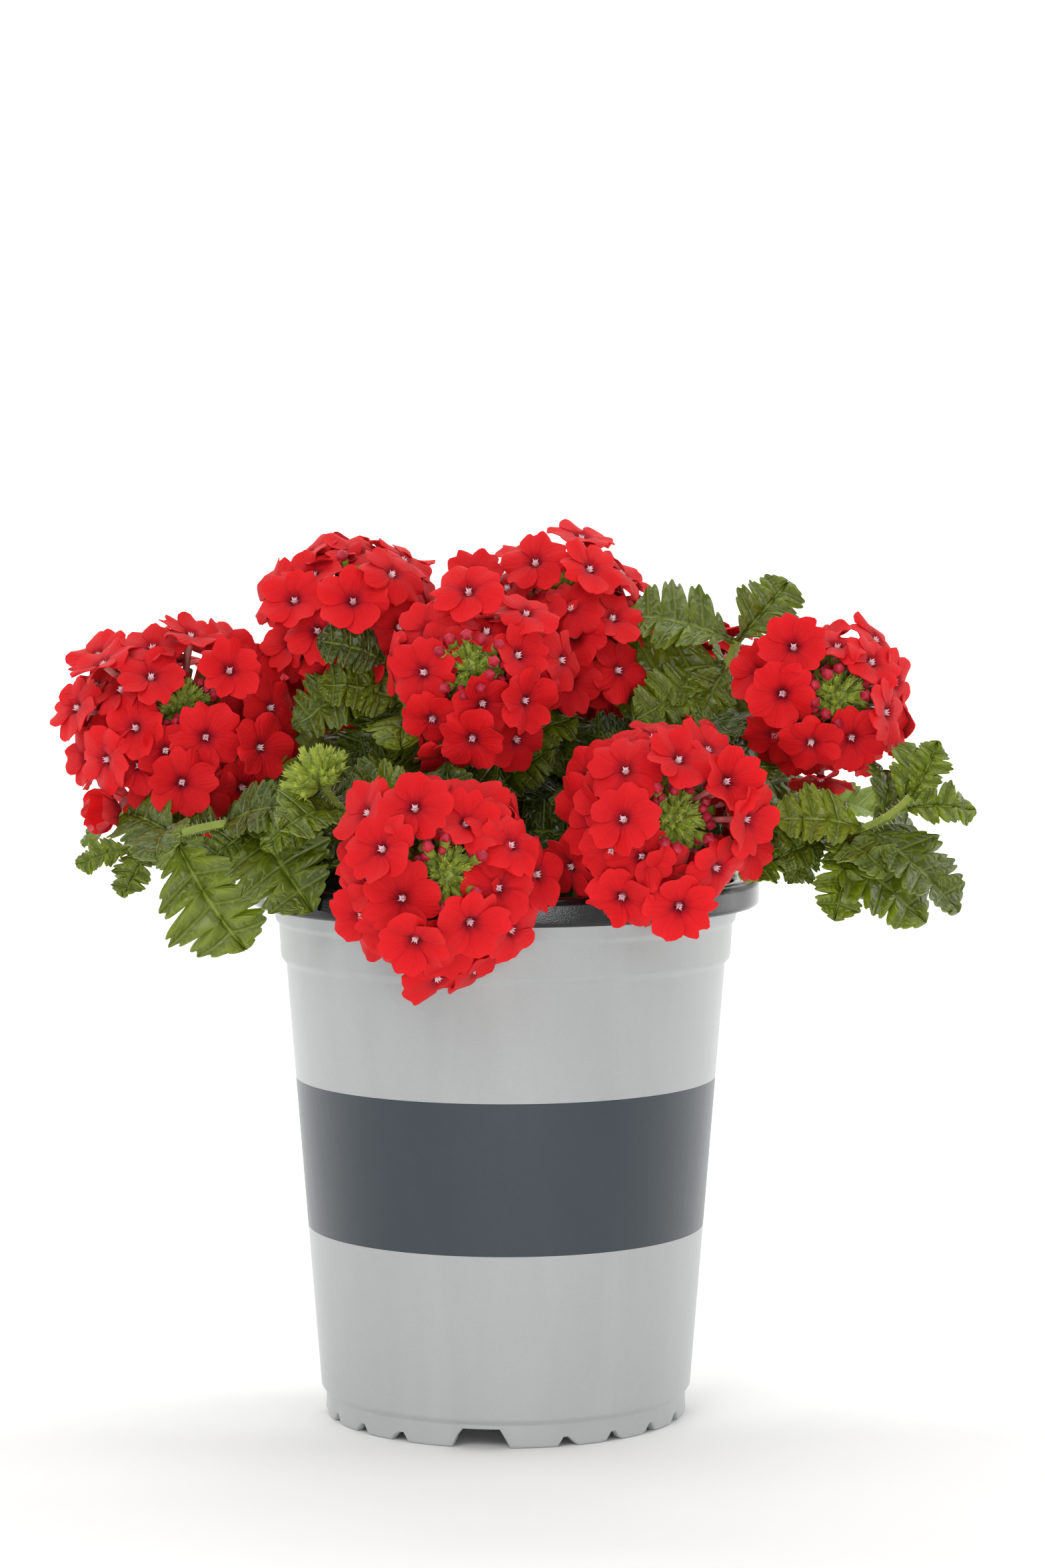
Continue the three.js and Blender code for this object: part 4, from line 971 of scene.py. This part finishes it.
def cutDrains(bm):  # one round hole in the raised floor at each gap of the foot ring
    cutter = bmesh.new()
    for gap in range(pot["gaps"]):
        azimuth = math.radians(pot["gapStart"] + gap * 360 / pot["gaps"])
        x, y = pot["drainCircle"] * math.cos(azimuth), pot["drainCircle"] * math.sin(azimuth)
        bmesh.ops.create_cone(cutter, cap_ends=True, segments=32, radius1=pot["drainRadius"],
                              radius2=pot["drainRadius"], depth=4,
                              matrix=Matrix.Translation((x, y, pot["floor"] + 0.5)))
    body = bpy.data.objects.new("potBlank", toMesh(bm, "potBlank"))
    drill = bpy.data.objects.new("drainDrill", toMesh(cutter, "drainDrill"))
    for piece in (body, drill):
        bpy.context.collection.objects.link(piece)
    cut = body.modifiers.new("drains", "BOOLEAN")
    cut.operation, cut.solver, cut.object = "DIFFERENCE", "EXACT", drill
    result = bmesh.new()
    result.from_object(body, bpy.context.evaluated_depsgraph_get())
    for piece in (body, drill):
        bpy.data.objects.remove(piece)
    return result


def isGrey(radius, height):  # grey outside and below, black inside and over the rim
    widening = (pot["shoulderRadius"] - pot["heelRadius"]) * (height - pot["wallBottom"]) / pot["wallHeight"]
    outside = radius > pot["heelRadius"] - pot["wall"] / 2 + widening
    heelStep = height < pot["wallBottom"] + 0.5 and (
        radius - height > pot["footRadius"] - pot["footHeight"] - 0.6)
    below = height < pot["floor"] + 0.5
    return height < pot["rimBottom"] + 0.1 and (outside or heelStep or below)


def buildPot():
    bm = bmesh.new()
    spun(bm, roundedProfile(potCorners()), pot["steps"])
    bmesh.ops.recalc_face_normals(bm, faces=bm.faces)
    for face in bm.faces:
        middle = face.calc_center_median()
        face.material_index = 0 if isGrey(math.hypot(middle.x, middle.y), middle.z) else 1
    lugMiddle, half = pot["lugStart"] + pot["lugSpan"] / 2, pot["lugSpan"] / 2
    for vert in bm.verts:
        degrees = math.degrees(math.atan2(vert.co.y, vert.co.x))
        radius = math.hypot(vert.co.x, vert.co.y)
        if vert.co.z < 1.2 and radius > 40:
            vert.co.z += footRise(degrees) * (1 - vert.co.z / 5)
        below = pot["height"] - vert.co.z
        if radius > pot["rimRadius"] - 0.3 and pot["lugTop"] < below < pot["lugLow"]:
            away = min(turnAway(degrees, lugMiddle + lug * 360 / pot["lugs"]) for lug in range(pot["lugs"]))
            vert.co.xy *= 1 + pot["lugProud"] * smooth(half, half - 0.8, away) / radius
    finishPiece("nursery_pot", cutDrains(bm), [greyPlastic, blackPlastic], "pot")


buildPot()
print("pot: finished")


# Peat mix: matt dark damp fibres and crumbs, coarser than life so that they show

soil = {"edge": 53.6, "bottom": 6.5, "gap": 0.4, "crown": 2.4, "crownRadius": 50, "rings": 26, "steps": 96,
        "lumpPitch": 7, "lump": 1.1, "finePitch": 2.6, "fineLump": 0.8,
        "crumbs": 420, "crumbRadius": 1.5, "grain": 1.43, "fibre": 2.38}


def makePeatMaterial():
    material, tree, shader = newMaterial("DampPeatMix", {"Roughness": 0.9, "Specular IOR Level": 0.3})
    coords = addNode(tree, "TexCoord", {}, "Object")
    grain = addNode(tree, "TexNoise", {
        "Vector": coords, "Scale": patternScale(soil["grain"]), "Detail": 6.0})
    fibres = addNode(tree, "TexVoronoi", {"Vector": coords, "Scale": patternScale(soil["fibre"])})
    colour = addNode(tree, "ValToRGB", {"Fac": grain}, stops=[
        (0.3, "#0d0a08"), (0.5, "#231911"), (0.62, "#3a2a1c"), (0.75, "#5a4430")])
    height = addNode(tree, "Math", {0: grain, 1: fibres}, operation="ADD")
    bump = addNode(tree, "Bump", {"Strength": 1.0, "Distance": 1.2 * mm, "Height": height})
    setInputs(tree, shader, {"Base Color": colour, "Normal": bump})
    return material


def soilHeight(x, y):
    radius = math.hypot(x, y)
    dome = soil["crown"] * max(0.0, 1 - (radius / soil["crownRadius"]) ** 2)
    lumps = soil["lump"] * noise.noise(Vector((x / soil["lumpPitch"], y / soil["lumpPitch"], 2)))
    lumps += soil["fineLump"] * noise.noise(Vector((x / soil["finePitch"], y / soil["finePitch"], 5)))
    return growth["soilTop"] + dome + lumps * (1 if radius < soil["edge"] - 1 else 0.3)


def buildSoil():
    bm = bmesh.new()
    edge, low, top = soil["edge"], soil["bottom"], growth["soilTop"]
    inside = pot["wall"] + soil["gap"]
    wallLow = pot["heelRadius"] - inside
    profile = [(0, low), (wallLow - 1.2, low), (wallLow, low + 1.4),
               (pot["shoulderRadius"] - inside, pot["collarBottom"] - 0.8),
               (edge, pot["collarBottom"] + 1), (edge, top - 0.6)]
    profile += [(edge * (1 - ring / soil["rings"]), top) for ring in range(soil["rings"] + 1)]
    spun(bm, [(radius, 0, height) for radius, height in profile], soil["steps"])
    for vert in bm.verts:
        if vert.co.z > top - 0.1:
            vert.co.z = soilHeight(vert.co.x, vert.co.y)
    bed = toMesh(bm, "peatBed")
    bm = bmesh.new()  # numbers the bed's points afresh, before the crumbs are added to them
    bm.from_mesh(bed)
    for number in range(soil["crumbs"]):
        reach = (edge - 2.5) * math.sqrt((number + 0.5) / soil["crumbs"])
        x, y = reach * math.cos(number * goldenAngle), reach * math.sin(number * goldenAngle)
        size = soil["crumbRadius"] * (0.55 + 0.45 * wobble(number)) + 0.3
        centre = Vector((x, y, soilHeight(x, y) + 0.25 * size))
        way = Vector((wobble(number + 3), wobble(number + 5), 0.4 + 0.3 * wobble(number + 9))).normalized()
        first, second = acrossAxis(way)

        def place(px, py, pz):
            bump = 1 + 0.35 * noise.noise(Vector((px * 1.7 + number, py * 1.7, pz * 1.7)))
            return centre + (way * (pz * 1.3) + first * (px * 0.9) + second * (py * 0.7)) * (size * bump)
        addShape(bm, crumb, place, 0)
    finishPiece("peat_mix", bm, [makePeatMaterial()], "potting_soil")


buildSoil()
print("soil: finished")


# Pale studio: a floor that sweeps up behind, soft boxes, and the camera

studio = {"cameraX": 4.1, "cameraHeight": 224.0, "distance": 1000.0, "pitch": 4.0, "lens": 94.4,
          "floorHalf": 4000, "floorFront": -2500, "sweepStart": 1400, "sweepRadius": 900,
          "sweepSteps": 10, "backHeight": 4200, "paperFibre": 33.3, "worldLight": 0.26}
softBoxes = [  # name, place, aim, size and power, in metres and watts
    ("keySoftBox", (-0.6, -1.3, 1.3), (0, 0, 0.15), (0.8, 0.8), 8.5),
    ("fillSoftBox", (0.9, -1.3, 0.7), (0, 0, 0.12), (0.9, 1.2), 3),
    ("lowSoftBox", (0, -1.5, 0.12), (0, 0, 0), (1.4, 0.2), 7),
    ("topSoftBox", (0, 0.1, 1.5), (0, 0, 0.1), (1.2, 1.2), 6),
    ("leftSoftBox", (-0.9, 0.3, 0.35), (0, 0, 0.15), (0.7, 1.4), 5),
    ("rightSoftBox", (0.9, 0.3, 0.35), (0, 0, 0.15), (0.7, 1.4), 5.5),
    ("backdropSoftBox", (0, 0.9, 1.6), (0, 2.2, 0.5), (2.4, 0.6), 45)]


# Matt white backdrop paper: an even pale ground that takes a soft shadow, with a faint fibre
def makePaperMaterial():
    material, tree, shader = newMaterial("PaleStudioPaper", {"Roughness": 0.8, "Specular IOR Level": 0.2})
    coords = addNode(tree, "TexCoord", {}, "Object")
    fibre = addNode(tree, "TexNoise", {
        "Vector": coords, "Scale": patternScale(studio["paperFibre"]), "Detail": 2.0})
    paper = addNode(tree, "Mix", {0: fibre, 6: hexToLinear("#f9f9f8"), 7: hexToLinear("#fcfcfc")}, 2,
                    data_type="RGBA")
    setInputs(tree, shader, {"Base Color": paper})
    return material


def buildFloor():
    bm = bmesh.new()
    side, start, bend = -studio["floorHalf"], studio["sweepStart"], studio["sweepRadius"]
    points = [Vector((side, studio["floorFront"], 0))]
    for step in range(studio["sweepSteps"] + 1):
        angle = step * math.pi / (2 * studio["sweepSteps"])
        points.append(Vector((side, start + bend * math.sin(angle), bend - bend * math.cos(angle))))
    points.append(Vector((side, start + bend, studio["backHeight"])))
    verts = [bm.verts.new(point * mm) for point in points]
    edges = [bm.edges.new(pair) for pair in zip(verts, verts[1:])]
    raised = bmesh.ops.extrude_edge_only(bm, edges=edges)["geom"]
    moved = [item for item in raised if isinstance(item, bmesh.types.BMVert)]
    bmesh.ops.translate(bm, vec=(-2 * side * mm, 0, 0), verts=moved)
    bmesh.ops.recalc_face_normals(bm, faces=bm.faces)
    mesh = toMesh(bm, "studio_floor")
    mesh.shade_smooth()
    mesh.materials.append(makePaperMaterial())
    floor = bpy.data.objects.new("studio_floor", mesh)
    bpy.context.collection.objects.link(floor)


def addSoftBox(name, place, aim, size, power):
    light = bpy.data.lights.new(name, "AREA")
    light.shape = "RECTANGLE"
    light.size, light.size_y = size
    light.energy = power
    box = bpy.data.objects.new(name, light)
    box.location = place
    box.rotation_euler = (Vector(aim) - Vector(place)).to_track_quat("-Z", "Y").to_euler()
    bpy.context.collection.objects.link(box)


buildFloor()
for softBox in softBoxes:
    addSoftBox(*softBox)

world = bpy.data.worlds.new("studioWorld")
world.use_nodes = True
background = world.node_tree.nodes["Background"]
background.inputs["Color"].default_value = (1, 1, 1, 1)
background.inputs["Strength"].default_value = studio["worldLight"]
bpy.context.scene.world = world
bpy.context.scene.view_settings.view_transform = "Standard"

lens = bpy.data.cameras.new("viewCamera")
lens.lens = studio["lens"]
lens.clip_end = 20
camera = bpy.data.objects.new("viewCamera", lens)
camera.location = (studio["cameraX"] * mm, -studio["distance"] * mm, studio["cameraHeight"] * mm)
camera.rotation_euler = (math.radians(90 - studio["pitch"]), 0, 0)
bpy.context.collection.objects.link(camera)
bpy.context.scene.camera = camera
print("studio: finished")
